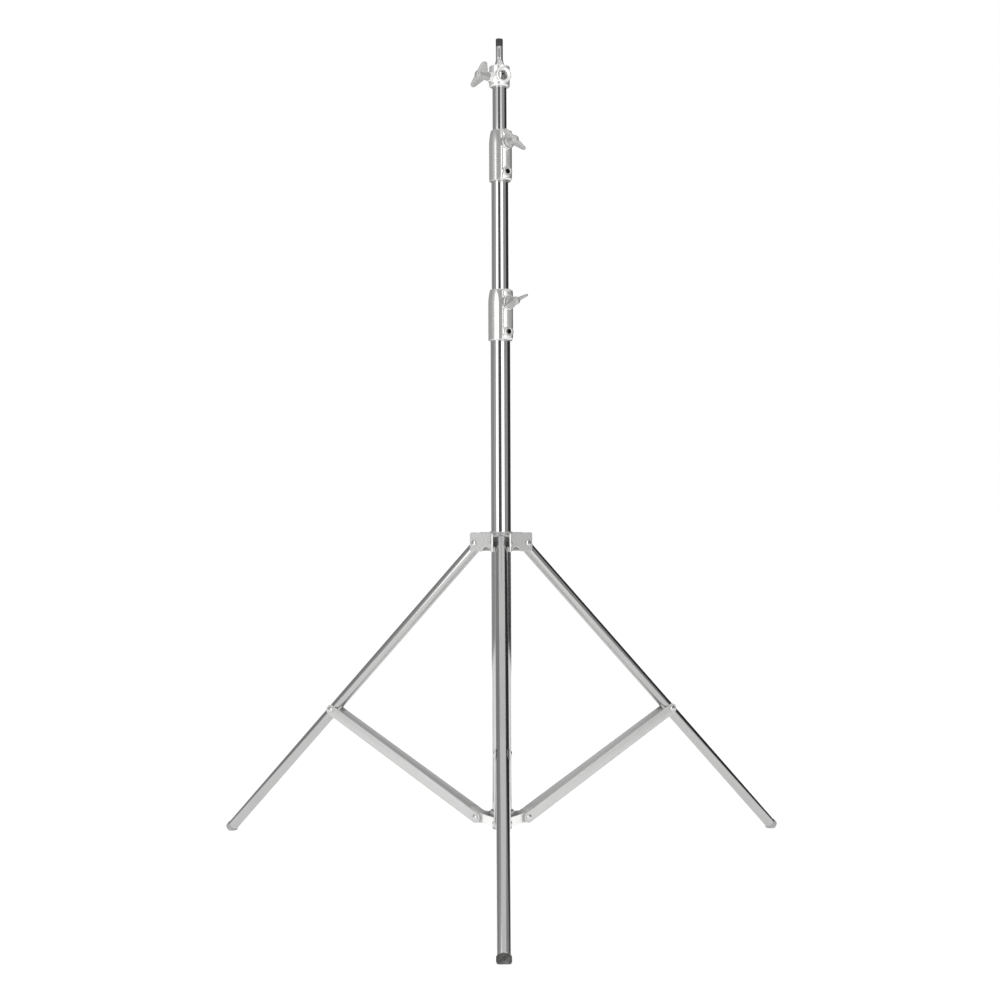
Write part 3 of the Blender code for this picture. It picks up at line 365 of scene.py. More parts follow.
def painted_highlight_ends(paint, spot):
    """1 on the end faces of the bracket's ears, which look straight away from the pole, else 0: where the
    highlight is painted.

    For a point p from the pole and a normal n, n . p / |p| is the cosine of the angle between them.
    """
    level = paint.vector("MULTIPLY", paint.vector("SUBTRACT", spot, tuple(POLE)), (1.0, 1.0, 0.0))
    away = paint.vector("NORMALIZE", level)
    far = paint.vector("LENGTH", level, out=1)
    normal = paint.node("ShaderNodeTexCoord", out=1)
    cosine = paint.vector("DOT_PRODUCT", normal, away, out=1)
    return cosine.step(0.75, 0.95) * far.step(HUB_REACH, HUB_REACH + 2 * MM)


def silver_paint(name, tint, shade, roughness, metal, grain, ends=False):
    """Flaked paint over a surface whose grain is given in metres, with a painted highlight on the ear ends if
    wanted.
    """
    paint = Finish(name, Metallic=metal)
    spot = paint.place()
    peel = paint.noise(spot, (420.0,) * 3, 3.0)
    flake = paint.noise(spot, (5200.0,) * 3, 1.0, 0.5)
    cloud = paint.noise(spot, (38.0,) * 3, 4.0)
    tone = paint.blend(0.35 * cloud + 0.4 * flake + 0.1 * peel, tint, shade)
    gloss = roughness + 0.16 * (cloud - 0.5) + 0.12 * (flake - 0.5)
    normal = paint.bumped((peel, grain), (flake, 0.12 * grain))
    if ends:
        # painted highlight: end faces that look away from the pole turn pale and lose their metal
        painted_highlight = painted_highlight_ends(paint, spot)
        tone = paint.blend(painted_highlight, tone, (0.95, 0.95, 0.94, 1))
        paint.feed(Metallic=metal * (1 - painted_highlight))
    return paint.feed(Base_Color=tone, Roughness=gloss, Normal=normal)


CAST = silver_paint("cast_paint", (0.74, 0.74, 0.73, 1), (0.62, 0.62, 0.615, 1), 0.26, 0.90, 9e-6)
HEAD = silver_paint("head_paint", (0.86, 0.86, 0.85, 1), (0.76, 0.76, 0.755, 1), 0.27, 0.72, 7e-6)
KNOB = silver_paint("knob_paint", (0.50, 0.50, 0.495, 1), (0.36, 0.36, 0.355, 1), 0.42, 0.60, 50e-6)
# this paint carries the painted highlight on the ear ends
BRACKET = silver_paint("bracket_paint", (0.54, 0.54, 0.535, 1), (0.45, 0.45, 0.445, 1), 0.40, 0.50,
                       10e-6, ends=True)
SHEET = silver_paint("sheet_paint", (0.60, 0.60, 0.595, 1), (0.52, 0.52, 0.515, 1), 0.44, 0.28, 8e-6)
print("paint", CAST.name, HEAD.name, KNOB.name, BRACKET.name, SHEET.name)

# %% [markdown]
# ## Small metal, plastic and rubber
# Screws and rivets are plated and bright, with faint turning marks. The headless set screws are
# blackened. Plugs and bushes are black moulded plastic with a fine spark texture; the leg pins take
# it too, as painted shade inside the bracket's channel. Rubber feet are dull, and dust settles on
# them near the floor, where they are palest.

# %% Plated, moulded and rubber finishes
DUST_HEIGHT = 30 * MM


def plated(name, tint, shade, roughness):
    """Bright plating with fine marks."""
    plate = Finish(name, Metallic=1.0)
    spot = plate.place()
    marks = plate.noise(spot, (1500.0,) * 3, 2.0)
    cloud = plate.noise(spot, (120.0,) * 3, 3.0)
    tone = plate.blend(0.6 * cloud + 0.3 * marks, tint, shade)
    gloss = roughness + 0.14 * cloud
    return plate.feed(Base_Color=tone, Roughness=gloss, Normal=plate.bumped((marks, 6e-6)))


def moulded(name, tint, shade, roughness, dust=0.0):
    """Plastic or rubber with a fine grain, and dust that fades out a little above the floor."""
    skin = Finish(name, Specular_IOR_Level=0.4)
    spot = skin.place()
    grain = skin.noise(spot, (2600.0,) * 3, 2.0)
    cloud = skin.noise(spot, (70.0,) * 3, 4.0)
    tone = skin.blend(0.7 * cloud + 0.3 * grain, tint, shade)
    if dust:
        height = skin.node("ShaderNodeSeparateXYZ", values={0: spot}, out=2)
        cover = (1 - height.step(0.0, DUST_HEIGHT)) * cloud.step(0.35, 0.7) * dust
        tone = skin.blend(cover, tone, (0.33, 0.32, 0.30, 1))
    gloss = roughness + 0.2 * (cloud - 0.5)
    return skin.feed(Base_Color=tone, Roughness=gloss, Normal=skin.bumped((grain, 20e-6)))


PLATED = plated("plated_steel", (0.66, 0.66, 0.66, 1), (0.52, 0.52, 0.52, 1), 0.06)
BLACKED = plated("blacked_steel", (0.05, 0.05, 0.052, 1), (0.02, 0.02, 0.02, 1), 0.30)
BRASS = plated("brass", (0.80, 0.62, 0.30, 1), (0.62, 0.46, 0.2, 1), 0.26)
PLASTIC = moulded("black_plastic", (0.018, 0.018, 0.019, 1), (0.045, 0.045, 0.045, 1), 0.42)
BLACK_RUBBER = moulded("black_rubber", (0.016, 0.016, 0.017, 1), (0.05, 0.05, 0.05, 1), 0.62, 0.5)
GREY_RUBBER = moulded("grey_rubber", (0.34, 0.34, 0.34, 1), (0.46, 0.46, 0.455, 1), 0.66, 0.4)
print("plating, plastic and rubber ready")

# %% [markdown]
# ## Tubes of the pole and the legs
# Each tube is one closed profile, a thin rectangle with eased corners, carried round its axis.
# A leg runs from its bracket pivot to its foot, so it is placed by those two points.

# %% Make the tubes
TUBE_EASE = 0.35 * MM


def tube_profile(outer, wall, low, high):
    """The section of a tube's wall with eased edges."""
    inner = outer - wall
    corners = [(outer, low), (outer, high), (inner, high), (inner, low)]
    return softened(corners, TUBE_EASE, 3, True)


POLE_TUBES = {"lower_tube": "base", "middle_tube": "middle_section", "top_tube": "top_section"}
for node, body in POLE_TUBES.items():
    low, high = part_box(node)
    radius = (high.x - low.x) / 2
    profile = tube_profile(radius, TUBE_WALL, low.z, high.z)
    tube = turned("skin_" + node, profile, along(POLE, UP), 128, True)
    fitted(tube, body, "stainless_tube", POLISHED, node)
    print(node, "radius", round(radius, 5), "from", round(low.z, 4), "to", round(high.z, 4))

# %% [markdown]
# A leg's own frame has its origin on the brace's joint and its Z axis towards the foot. The joint
# positions come from the model. The slope is that of the line from there to the leg's top pin.

# %% Legs and their top plugs
STRUT_JOINT_ALONG = 452.0 * MM
TOP_OVERHANG = 9.5 * MM
PLUG_RISE = 2.5 * MM
PLUG_DEPTH = 28.0 * MM
FOOT_SOLE = 3.0 * MM
NECK = LEG_RADIUS - TUBE_WALL - FIT


def leg_frame(label):
    """A leg's frame, its length from the brace's joint to the floor, and its direction."""
    joint = np.array(joints[f"leg_{label}_hinge"]["pos_m"])
    slope = joint - middle_of(f"leg_pin_{label}")
    slope /= np.linalg.norm(slope)
    return along(joint, slope), joint[2] / -slope[2], slope


def lean_of(slope):
    """The tangent of a leg's angle to the upright."""
    return math.hypot(slope[0], slope[1]) / -slope[2]


def dome(radius, low, rise, steps=10):
    """A profile from the axis over a flattened dome to its rim: r sin a, low - rise cos a."""
    turn = np.linspace(0, np.pi / 2, steps)
    return np.stack((radius * np.sin(turn), low - rise * np.cos(turn)), -1)


for label in LEGS:
    place, reach, slope = leg_frame(label)
    top = -STRUT_JOINT_ALONG - TOP_OVERHANG
    end = reach - LEG_RADIUS * lean_of(slope) - FOOT_SOLE
    tube = turned(f"skin_leg_{label}", tube_profile(LEG_RADIUS, TUBE_WALL, top, end), place, 96, True)
    fitted(tube, f"{label}_leg", "satin_tube", SATIN, f"leg_{label}")
    cap = dome(LEG_RADIUS, top - FIT, PLUG_RISE)
    shank = [(NECK, top - FIT), (NECK, top + PLUG_DEPTH), (0, top + PLUG_DEPTH)]
    plug = turned(f"skin_leg_plug_{label}", np.vstack((cap, shank)), place, 64)
    fitted(plug, f"{label}_leg", "black_plastic", PLASTIC, f"leg_plug_{label}")
print("leg length below the brace", round(reach, 4))

# %% [markdown]
# ## Feet
# A foot is a rubber plug in the leg's end. Its head is a little wider than the leg, with a shallow
# groove under its rim and a well rounded end. It is turned about the leg's axis, and a plane at
# the floor then cuts it. The cut is closed by one face, the sole.

# %% Make the feet
FOOT_RADIUS = 11.4 * MM
FOOT_CORNER = 3.5 * MM
FOOT_END_SHORT = 3.5 * MM
FOOT_NECK = 18.0 * MM
RIM_EASE = 0.5 * MM
RIM_HEIGHT = 1.6 * MM
GROOVE_DEPTH = 0.3 * MM
for label in LEGS:
    place, reach, slope = leg_frame(label)
    head = reach - LEG_RADIUS * lean_of(slope) - FOOT_SOLE + FIT
    end = reach - FOOT_END_SHORT
    neck = [(0, head - FOOT_NECK), (NECK, head - FOOT_NECK), (NECK, head)]
    rim = [(FOOT_RADIUS - RIM_EASE, head), (FOOT_RADIUS, head + RIM_EASE),
           (FOOT_RADIUS, head + RIM_HEIGHT), (FOOT_RADIUS - GROOVE_DEPTH, head + RIM_HEIGHT + RIM_EASE),
           (FOOT_RADIUS, head + RIM_HEIGHT + 2 * RIM_EASE)]
    turn = np.linspace(0, np.pi / 2, 12)
    rounding = np.stack((FOOT_RADIUS - FOOT_CORNER * (1 - np.cos(turn)),
                         end - FOOT_CORNER * (1 - np.sin(turn))), -1)
    profile = np.vstack((neck, rim, rounding, [(0, end)]))
    boot = turned(f"skin_foot_{label}", profile, place, 96)
    work = bmesh.new()
    work.from_mesh(boot.data)
    everything = work.verts[:] + work.edges[:] + work.faces[:]
    bmesh.ops.bisect_plane(work, geom=everything, dist=1e-7, plane_co=(0, 0, 0), plane_no=(0, 0, -1),
                           clear_outer=True)
    bmesh.ops.holes_fill(work, edges=[edge for edge in work.edges if edge.is_boundary], sides=0)
    bmesh.ops.recalc_face_normals(work, faces=work.faces)
    work.to_mesh(boot.data)
    work.free()
    shade = BLACK_RUBBER if label == "front" else GREY_RUBBER
    slot = "black_rubber" if label == "front" else "grey_rubber"
    fitted(boot, f"{label}_leg", slot, shade, f"foot_{label}")
    print("foot", label, "faces", len(boot.data.polygons))

# %% [markdown]
# ## Castings
# A casting has no sharp inside corners, because metal flows through its mould. The quick way to
# that look is to push overlapping closed shapes together, skin them with one even mesh, and relax
# that skin: a remesh at a fraction of a millimetre, then some smoothing, leaves fillets about as
# wide as the real ones. Holes are cut first, so that they stay round.

# %% Joining, cutting and skinning


def applied(piece):
    """Bake a piece's modifiers into its own mesh."""
    view = bpy.context.evaluated_depsgraph_get()
    result = bpy.data.meshes.new_from_object(piece.evaluated_get(view))
    piece.modifiers.clear()
    piece.data = result
    return piece


def shaped(piece, operation, *tools):
    """Join or cut a piece with tools, which are used up."""
    for tool in tools:
        step = piece.modifiers.new(operation, "BOOLEAN")
        step.operation = operation
        step.object = tool
        step.solver = "EXACT"
        applied(piece)
        bpy.data.objects.remove(tool, do_unlink=True)
    return piece


def skinned(piece, voxel, relax):
    """One even skin over a piece, relaxed so that its corners become fillets."""
    skin = piece.modifiers.new("skin", "REMESH")
    skin.mode = "VOXEL"
    skin.voxel_size = voxel
    skin.use_smooth_shade = True
    ease = piece.modifiers.new("ease", "SMOOTH")
    ease.factor = 0.5
    ease.iterations = relax
    applied(piece)
    piece.data.shade_smooth()
    return piece


def casting_from(node, voxel, relax):
    """A cast skin over a copy of a solid whose doubles are merged."""
    mesh = nodes[node].data.copy()
    work = bmesh.new()
    work.from_mesh(mesh)
    bmesh.ops.remove_doubles(work, verts=work.verts, dist=2e-6)
    work.to_mesh(mesh)
    work.free()
    piece = bpy.data.objects.new("cast_" + node, mesh)
    bpy.context.scene.collection.objects.link(piece)
    return skinned(piece, voxel, relax)


print("casting helpers ready")

# %% [markdown]
# ## Clamps
# A clamp is a round sleeve with a rib down one side that carries two screws. Its section is worked
# out in polar form. The sleeve is a circle R(z). The rib's face is a wider circle F, and its flanks
# are straight, at a distance D from the axis, and lean by the mould's draft d. So the rib's reach
# in direction a is ((1 / F)^p + ((cos a sin d + |sin a| cos d) / D)^p)^(-1/p), where p sets its
# corners. A smooth maximum of the two, (x + y + sqrt((x - y)^2 + k^2)) / 2, leaves the fillet
# between them.

# %% The clamp's outer surface
CLAMP_HEIGHT = 91.0 * MM
CLAMP_WALL = 4.0 * MM
CLAMP_TOP_WALL = 3.2 * MM
SHOULDER = 26.0 * MM
RIB_DEPTH = 8.5 * MM
RIB_FLANK = 15.8 * MM
RIB_DRAFT = math.radians(10)
RIB_POWER = 16
END_POWER = 16
FILLET = 1.2 * MM
RIM = 0.8 * MM
CLEAR = 20.0 * MM
SEAT_DEPTH = 47.3 * MM
# each boss: its height, radius, how far it stands out, and the radius of its hole
KNOB_BOSS = (66.0 * MM, 12.5 * MM, 4.5 * MM, 5.3 * MM)
SET_BOSS = (14.3 * MM, 9.0 * MM, 2.2 * MM, 4.3 * MM)


def clamp_skin(seat, slide):
    """The casting without its holes, in its own frame: rows of heights, columns of directions."""
    turn = np.linspace(0, 2 * np.pi, 192, endpoint=False)[None, :]
    height = np.linspace(RIM, CLAMP_HEIGHT - RIM, 90)[:, None]
    body, top = seat + CLAMP_WALL, slide + CLAMP_TOP_WALL
    rise = np.clip((height - (CLAMP_HEIGHT - SHOULDER)) / SHOULDER, 0, 1)
    sleeve = body - (body - top) * rise**2 + 0 * turn
    middle = (CLAMP_HEIGHT - 2 * MM) / 2
    ends = np.clip(1 - np.abs((height - middle) / middle) ** END_POWER, 0, 1) ** (1 / 4)
    front = body + RIB_DEPTH * ends
    flank = np.cos(turn) * math.sin(RIB_DRAFT) + np.abs(np.sin(turn)) * math.cos(RIB_DRAFT)
    flank = np.maximum(flank, 0.01) / RIB_FLANK
    rib = ((1 / front) ** RIB_POWER + flank**RIB_POWER) ** (-1 / RIB_POWER)
    rib = np.where(np.cos(turn) > 0, rib, 0)
    reach = (sleeve + rib + np.sqrt((sleeve - rib) ** 2 + FILLET**2)) / 2
    reach = np.where(rib > 0.5 * sleeve, reach, sleeve)
    first, last = reach[:1] - RIM, reach[-1:] - RIM
    reach = np.concatenate((0 * first, first, reach, last, 0 * last))
    levels = [[0], [0], height[:, 0], [CLAMP_HEIGHT], [CLAMP_HEIGHT]]
    height = np.concatenate(levels)[:, None] + 0 * turn
    return np.stack((reach * np.cos(turn), reach * np.sin(turn), height), -1)


def disc(name, radius, low, high, place, edge=0.0):
    """A closed cylinder with an eased rim, from the axis out and back."""
    profile = [(0, low), (radius, low), (radius, high), (0, high)]
    return turned(name, softened(profile, edge, 4) if edge else profile, place, 64)


def clamp(label, seat, slide, body):
    """A clamp on a tube of radius seat, in which a tube of radius slide slides."""
    bottom, _ = span_z(f"{label}_clamp")
    axis = joints[f"{label}_knob_turn"]["axis"]
    home = axes_at(POLE + (0, 0, bottom), axis)
    casting = grid_mesh(f"skin_{label}_clamp", carried(clamp_skin(seat, slide), home))
    front = seat + CLAMP_WALL + RIB_DEPTH
    bosses = []
    holes = []
    for height, radius, depth, hole in (KNOB_BOSS, SET_BOSS):
        spot = along(POLE + (0, 0, bottom + height), axis)
        bosses.append(disc("boss", radius, seat, front + depth, spot, RIM))
        holes.append(disc("hole", hole, slide / 2, front + CLEAR, spot))
    shaped(casting, "UNION", *bosses)
    wide, narrow = seat + FIT, slide + FIT
    profile = [(0, -MM), (wide, -MM), (wide, SEAT_DEPTH), (narrow, SEAT_DEPTH),
               (narrow, CLAMP_HEIGHT + MM), (0, CLAMP_HEIGHT + MM)]
    bore = turned("bore", profile, along(POLE + (0, 0, bottom), UP), 96)
    shaped(casting, "DIFFERENCE", bore, *holes)
    skinned(casting, voxel=0.7 * MM, relax=3)
    fitted(casting, body, "cast_silver", CAST, f"{label}_clamp")
    print(label, "clamp faces", len(casting.data.polygons))


clamp("lower", LOWER_RADIUS, MIDDLE_RADIUS, "base")
clamp("upper", MIDDLE_RADIUS, TOP_RADIUS, "middle_section")

# %% [markdown]
# ## Head, bracket and collar
# These three castings already have their final shape as solids, so each gets a cast skin over a
# copy. The voxels are as small as the size of the piece allows.

# %% Skin the other castings
for node, body, voxel, relax, paint in (("head", "top_section", 0.5 * MM, 10, HEAD),
                                        ("leg_bracket", "bracket", 0.7 * MM, 7, BRACKET),
                                        ("spreader_collar", "base", 0.7 * MM, 6, BRACKET)):
    casting = casting_from(node, voxel, relax)
    fitted(casting, body, "cast_silver", paint, node)
    print(node, "faces", len(casting.data.polygons))

# %% [markdown]
# ## Wing knobs
# A wing knob is a hub with two wings that lean away from the casting. The wings are one closed tube
# from tip to tip. At distance y from the axis it reaches from an inner edge, a straight line that
# touches the tip's circle, to an outer edge, which is level until that circle. Its thickness falls
# towards the tip and closes there as (1 - q^2)^(1/4), where q is how far into the tip the point is.

# %% Model the knob once and place it at every clamp
# all in millimetres; TIP and ROOT are heights over the knob's base and distances from its axis
KNOB_LENGTH = 27.0
HUB_RADIUS = 7.2
HUB_CROWN = 6.0
HUB_EDGE = 1.0
FLANGE = 3.0
WAIST = (8.0, 7.0)
BORE_RADIUS = 4.3
BORE_DEPTH = 14.0
TIP_RADIUS = 6.5
TIP = (19.5, 20.0)
ROOT = (3.0, 6.2)
THICK_AT_ROOT = 3.3
THICK_AT_TIP = 2.3
SECTION_POWER = 0.6
CLAMP_KNOB_BASE = 10.5
SMALL_KNOB_BASE = 7.8


def wing_skin():
    """The wings' surface, rows from tip to tip and columns round each section, in metres."""
    run, rise = TIP[0] - ROOT[0], TIP[1] - ROOT[1]
    lean = math.atan2(rise, run) + math.asin(TIP_RADIUS / math.hypot(run, rise))
    touch = TIP[1] + TIP_RADIUS * math.cos(lean)
    away = (TIP[1] + TIP_RADIUS) * np.sin(np.linspace(-np.pi / 2, np.pi / 2, 97))[:, None]
    size = np.abs(away)
    circle = np.sqrt(np.clip(TIP_RADIUS**2 - (size - TIP[1]) ** 2, 0, None))
    sloped = ROOT[0] + np.maximum(size - ROOT[1], 0) / math.tan(lean)
    inner = np.where(size < touch, sloped, TIP[0] - circle)
    outer = np.where(size < TIP[1], TIP[0] + TIP_RADIUS, TIP[0] + circle)
    past = np.clip((size - TIP[1]) / TIP_RADIUS, 0, 1)
    thinned = (THICK_AT_ROOT - THICK_AT_TIP) * np.clip(size / TIP[1], 0, 1)
    thick = (THICK_AT_ROOT - thinned) * (1 - past**2) ** 0.25
    turn = np.linspace(0, 2 * np.pi, 48, endpoint=False)[None, :]
    cosine, sine = np.cos(turn), np.sin(turn)
    across = np.sign(cosine) * np.abs(cosine) ** SECTION_POWER
    through = np.sign(sine) * np.abs(sine) ** SECTION_POWER
    return np.stack(((inner + outer) / 2 + (outer - inner) / 2 * across, away + 0 * turn,
                     thick * through), -1) * MM


def wing_knob(node, joint, roll, base, body):
    """Hub and wings joined by one skin, turned by roll degrees about the knob's axis."""
    home = axes_at(joints[joint]["pos_m"], joints[joint]["axis"])
    turn = math.radians(roll)
    spin = np.eye(4)
    spin[1:3, 1:3] = [[math.cos(turn), -math.sin(turn)], [math.sin(turn), math.cos(turn)]]
    home = home @ spin
    hub_place = along(home[:3, 3], home[:3, 0])
    crown = dome(HUB_RADIUS, HUB_CROWN - KNOB_LENGTH, HUB_CROWN)[::-1] * (1, -1)
    profile = np.vstack(([(0, 0), (base, 0), (base, FLANGE), WAIST], crown))
    hub = turned("hub", softened(profile, HUB_EDGE, 4) * MM, hub_place, 64)
    knob = grid_mesh("skin_" + node, carried(wing_skin(), home))
    shaped(knob, "UNION", hub)
    shaped(knob, "DIFFERENCE", disc("bore", BORE_RADIUS * MM, -MM, BORE_DEPTH * MM, hub_place))
    skinned(knob, voxel=0.45 * MM, relax=5)
    fitted(knob, body, "cast_silver", KNOB, node)
    print(node, "faces", len(knob.data.polygons))


wing_knob("lower_clamp_knob", "lower_knob_turn", 27, CLAMP_KNOB_BASE, "lower_knob")
wing_knob("upper_clamp_knob", "upper_knob_turn", -37, CLAMP_KNOB_BASE, "upper_knob")
wing_knob("head_knob", "spigot_knob_turn", 44, SMALL_KNOB_BASE, "spigot_knob")
wing_knob("bracket_knob", "rear_knob_turn", 90, SMALL_KNOB_BASE, "rear_knob")

# %% [markdown]
# ## Spigot
# The spigot is turned bar, polished as the pole is, with a flared foot that sits on the head and a
# black cap on its threaded end. Its profile is the real one's silhouette. With s from 0 at the
# foot's rim to 1 on the bar, the flare is a power curve, r = R + (F - R) (1 - s)^1.4, from the
# foot's radius F to the bar's radius R. The cap is a plain moulding with a rounded rim.

# %% Turn the spigot and its cap
# radii, and heights over the spigot's foot or, for the cap's bore, over the cap's rim
BAR, BAR_TOP, SHANK_END = 6.25 * MM, 35.0 * MM, -25.5 * MM
FLARE, FLARE_LOW, FLARE_RISE = 9.2 * MM, 1.2 * MM, 10.8 * MM
STUD, STUD_HEIGHT = 4.7 * MM, 8.5 * MM
CAP, CAP_BORE = 6.35 * MM, 5.0 * MM
BAR_EASE, CAP_EASE = 0.3 * MM, 0.9 * MM
share = np.linspace(0, 1, 12)
flare = np.stack((BAR + (FLARE - BAR) * (1 - share) ** 1.4, FLARE_LOW + FLARE_RISE * share), -1)
shank = [(0, SHANK_END), (BAR, SHANK_END), (BAR, 0), (FLARE, 0)]
stud_top = BAR_TOP + STUD_HEIGHT
tip = [(BAR, BAR_TOP), (STUD, BAR_TOP), (STUD, stud_top), (0, stud_top)]
profile = softened(np.vstack((shank, flare, tip)), BAR_EASE, 2)
foot_height = span_z("head")[1] + FIT
spigot = turned("skin_spigot", profile, along(POLE + (0, 0, foot_height), UP), 96)
fitted(spigot, "top_section", "bright_steel", POLISHED, "spigot")
cap_low, cap_high = span_z("spigot_cap")
tall = cap_high - cap_low
profile = [(0, STUD_HEIGHT), (CAP_BORE, STUD_HEIGHT), (CAP_BORE, 0), (CAP, 0), (CAP, tall), (0, tall)]
cap_place = along(POLE + (0, 0, cap_low), UP)
cover = turned("skin_spigot_cap", softened(profile, CAP_EASE, 5), cap_place, 64)
fitted(cover, "top_section", "black_plastic", PLASTIC, "spigot_cap")
print("spigot top", round(cap_high, 4))

# %% [markdown]
# ## Braces
# A brace is folded from 1.5 mm sheet: a channel with its back on top, that tapers to the leg. Here
# the channel's section, with rounded folds, is carried along its length. Its side view is then
# trimmed to round noses, and a round notch is cut into its back at each end, so that the collar's
# arm and the leg can turn between its cheeks.

# %% Fold the braces
SHEET_THICK = 1.5 * MM
BRACE_HIGH = 9.0 * MM
BRACE_LOW = -10.0 * MM
NOSE = 9.5 * MM
FOLD = 2.6 * MM
COLLAR_END_HALF = 15.0 * MM
LEG_END_HALF = 12.5 * MM
NOTCH = 23.0 * MM
NOTCH_LIP = 0.2 * MM
BRACE_EDGE = 0.3 * MM
SPARE = 20.0 * MM


def channel_section():
    """The channel's closed outline as (side, offset from the half width, height) columns."""
    fold = np.linspace(0, np.pi / 2, 6)
    low = BRACE_LOW - 5 * MM
    rings = []
    for radius, edge in ((FOLD, 0.0), (FOLD - SHEET_THICK, -SHEET_THICK)):
        bend = np.stack((-FOLD + radius * np.cos(fold), BRACE_HIGH - FOLD + radius * np.sin(fold)), -1)
        rings.append(np.vstack(([(edge, low)], bend)))
    outer, inner = rings
    spots = np.vstack((outer, outer[::-1], inner, inner[::-1]))
    side = np.repeat((1.0, -1.0, -1.0, 1.0), len(outer))
    return side, spots[:, 0], spots[:, 1]


def capped(piece):
    """Close a piece's open ends with one face each."""
    work = bmesh.new()
    work.from_mesh(piece.data)
    bmesh.ops.holes_fill(work, edges=[edge for edge in work.edges if edge.is_boundary], sides=0)
    bmesh.ops.recalc_face_normals(work, faces=work.faces)
    work.to_mesh(piece.data)
    work.free()
    return piece


def slab(name, outline, low, high, place):
    """A flat outline in a frame's XY, carried along its Z from low to high."""
    outline = np.array(outline)
    rows = [np.column_stack((outline, np.full(len(outline), level))) for level in (low, high)]
    return capped(grid_mesh(name, carried(np.array(rows), place)))


def circle_part(centre, radius, start, end, steps=24):
    """Points of an arc, from start to end degrees."""
    turn = np.radians(np.linspace(start, end, steps))
    return np.stack((centre[0] + radius * np.cos(turn), centre[1] + radius * np.sin(turn)), -1)


def brace(label):
    """One brace between its collar rivet and its leg rivet."""
    inner_end = np.array(joints[f"brace_{label}_hinge"]["pos_m"])
    outer_end = np.array(joints[f"leg_{label}_hinge"]["pos_m"])
    length = np.linalg.norm(outer_end - inner_end)
    home = axes_at(inner_end, outer_end - inner_end)
    side, offset, height = channel_section()
    stations = np.array((-SPARE, length + SPARE))[:, None]
    half = COLLAR_END_HALF + (LEG_END_HALF - COLLAR_END_HALF) * stations / length
    own = np.stack((stations + 0 * side, side * (half + offset), height + 0 * stations), -1)
    piece = capped(grid_mesh(f"skin_strut_{label}", carried(own, home), own))
    middle = (BRACE_LOW + BRACE_HIGH) / 2
    view = home.copy()
    view[:3, 1], view[:3, 2] = home[:3, 2], -home[:3, 1]
    noses = (circle_part((0, middle), NOSE, 90, 270), circle_part((length, middle), NOSE, -90, 90))
    shaped(piece, "INTERSECT", slab("view", np.vstack(noses), -2 * SPARE, 2 * SPARE, view))
    for spot, inwards, wide in ((0.0, 1, COLLAR_END_HALF), (length, -1, LEG_END_HALF)):
        radius = wide - SHEET_THICK - NOTCH_LIP
        centre = spot + inwards * (NOTCH - radius)
        far = spot - inwards * 30 * MM
        curve = circle_part((centre, 0), radius, 90, -90)
        curve[:, 0] = centre + inwards * (curve[:, 0] - centre)
        outline = np.vstack((curve, [(far, -radius), (far, radius)]))
        shaped(piece, "DIFFERENCE", slab("notch", outline, middle, 30 * MM, home))
    edge = piece.modifiers.new("edge", "BEVEL")
    edge.width = BRACE_EDGE
    edge.segments = 2
    edge.limit_method = "ANGLE"
    edge.angle_limit = math.radians(50)
    applied(piece)
    piece.data.shade_smooth()
    piece.data.set_sharp_from_angle(angle=SHARP_FROM)
    fitted(piece, f"brace_{label}", "pressed_sheet", SHEET, f"strut_{label}")
    return len(piece.data.polygons)


print("brace faces", [brace(label) for label in LEGS])

# %% [markdown]
# ## Rivets
# A rivet is a short bar with a domed head that the press formed. The dome is part of a flattened
# sphere. The same profile serves the braces, the collar and the bracket's ears.

# %% Turn the rivets
# a grip is the distance between the undersides of a rivet's two heads
RIVET_RADIUS = 3.0 * MM
RIVET_HEAD = 5.5 * MM
RIVET_RISE = 2.2 * MM
COLLAR_GRIP = 30.6 * MM
LEG_GRIP = 25.6 * MM
EAR_GRIP = 35.2 * MM
EAR_RIVET_START = 14.3 * MM
EAR_PIVOT_REACH = 46.0 * MM
ear_height = middle_of("leg_pin_front")[2]


def rivet_profile(grip):
    """Both domed heads and the shank between them, half a grip each way."""
    turn = np.linspace(0, np.pi / 2, 9)
    head = np.stack((RIVET_HEAD * np.cos(turn) ** 0.85, grip / 2 + RIVET_RISE * np.sin(turn)), -1)
    head[-1, 0] = 0
    side = np.vstack(([(RIVET_RADIUS, grip / 2)], head))
    return np.vstack((side[::-1] * (1, -1), side))


for label, azimuth in LEGS.items():
    across = np.cross(UP, direction(azimuth))
    for kind, body, grip in (("collar_rivet", "base", COLLAR_GRIP),
                             ("strut_rivet", f"{label}_leg", LEG_GRIP)):
        node = f"{kind}_{label}"
        piece = turned("skin_" + node, rivet_profile(grip), along(middle_of(node), across), 40)
        fitted(piece, body, "bright_steel", PLATED, node)
    for side, sign in (("a", 1), ("b", -1)):
        node = f"ear_rivet_{label}_{side}"
        heart = POLE + direction(azimuth) * EAR_PIVOT_REACH + (0, 0, ear_height)
        whole = rivet_profile(EAR_GRIP)
        start = [(0, EAR_RIVET_START), (RIVET_RADIUS, EAR_RIVET_START)]
        half = np.vstack((start, whole[len(whole) // 2:]))
        piece = turned("skin_" + node, half, along(heart, sign * across), 40)
        fitted(piece, "bracket", "bright_steel", PLATED, node)
print("rivets placed")

# %% [markdown]
# ## Solids that keep their own shape
# What is hidden or very small keeps its solid, with the finish of its real material. The leg pins' black plastic
# is painted shade.

# %% Finishes for the remaining solids
LOOKS = {
    "stainless_tube": POLISHED, "satin_tube": SATIN, "cast_silver": CAST, "pressed_sheet": SHEET,
    "bright_steel": PLATED, "brass_pad": BRASS, "black_plastic": PLASTIC,
    "black_rubber": BLACK_RUBBER, "grey_rubber": GREY_RUBBER,
}
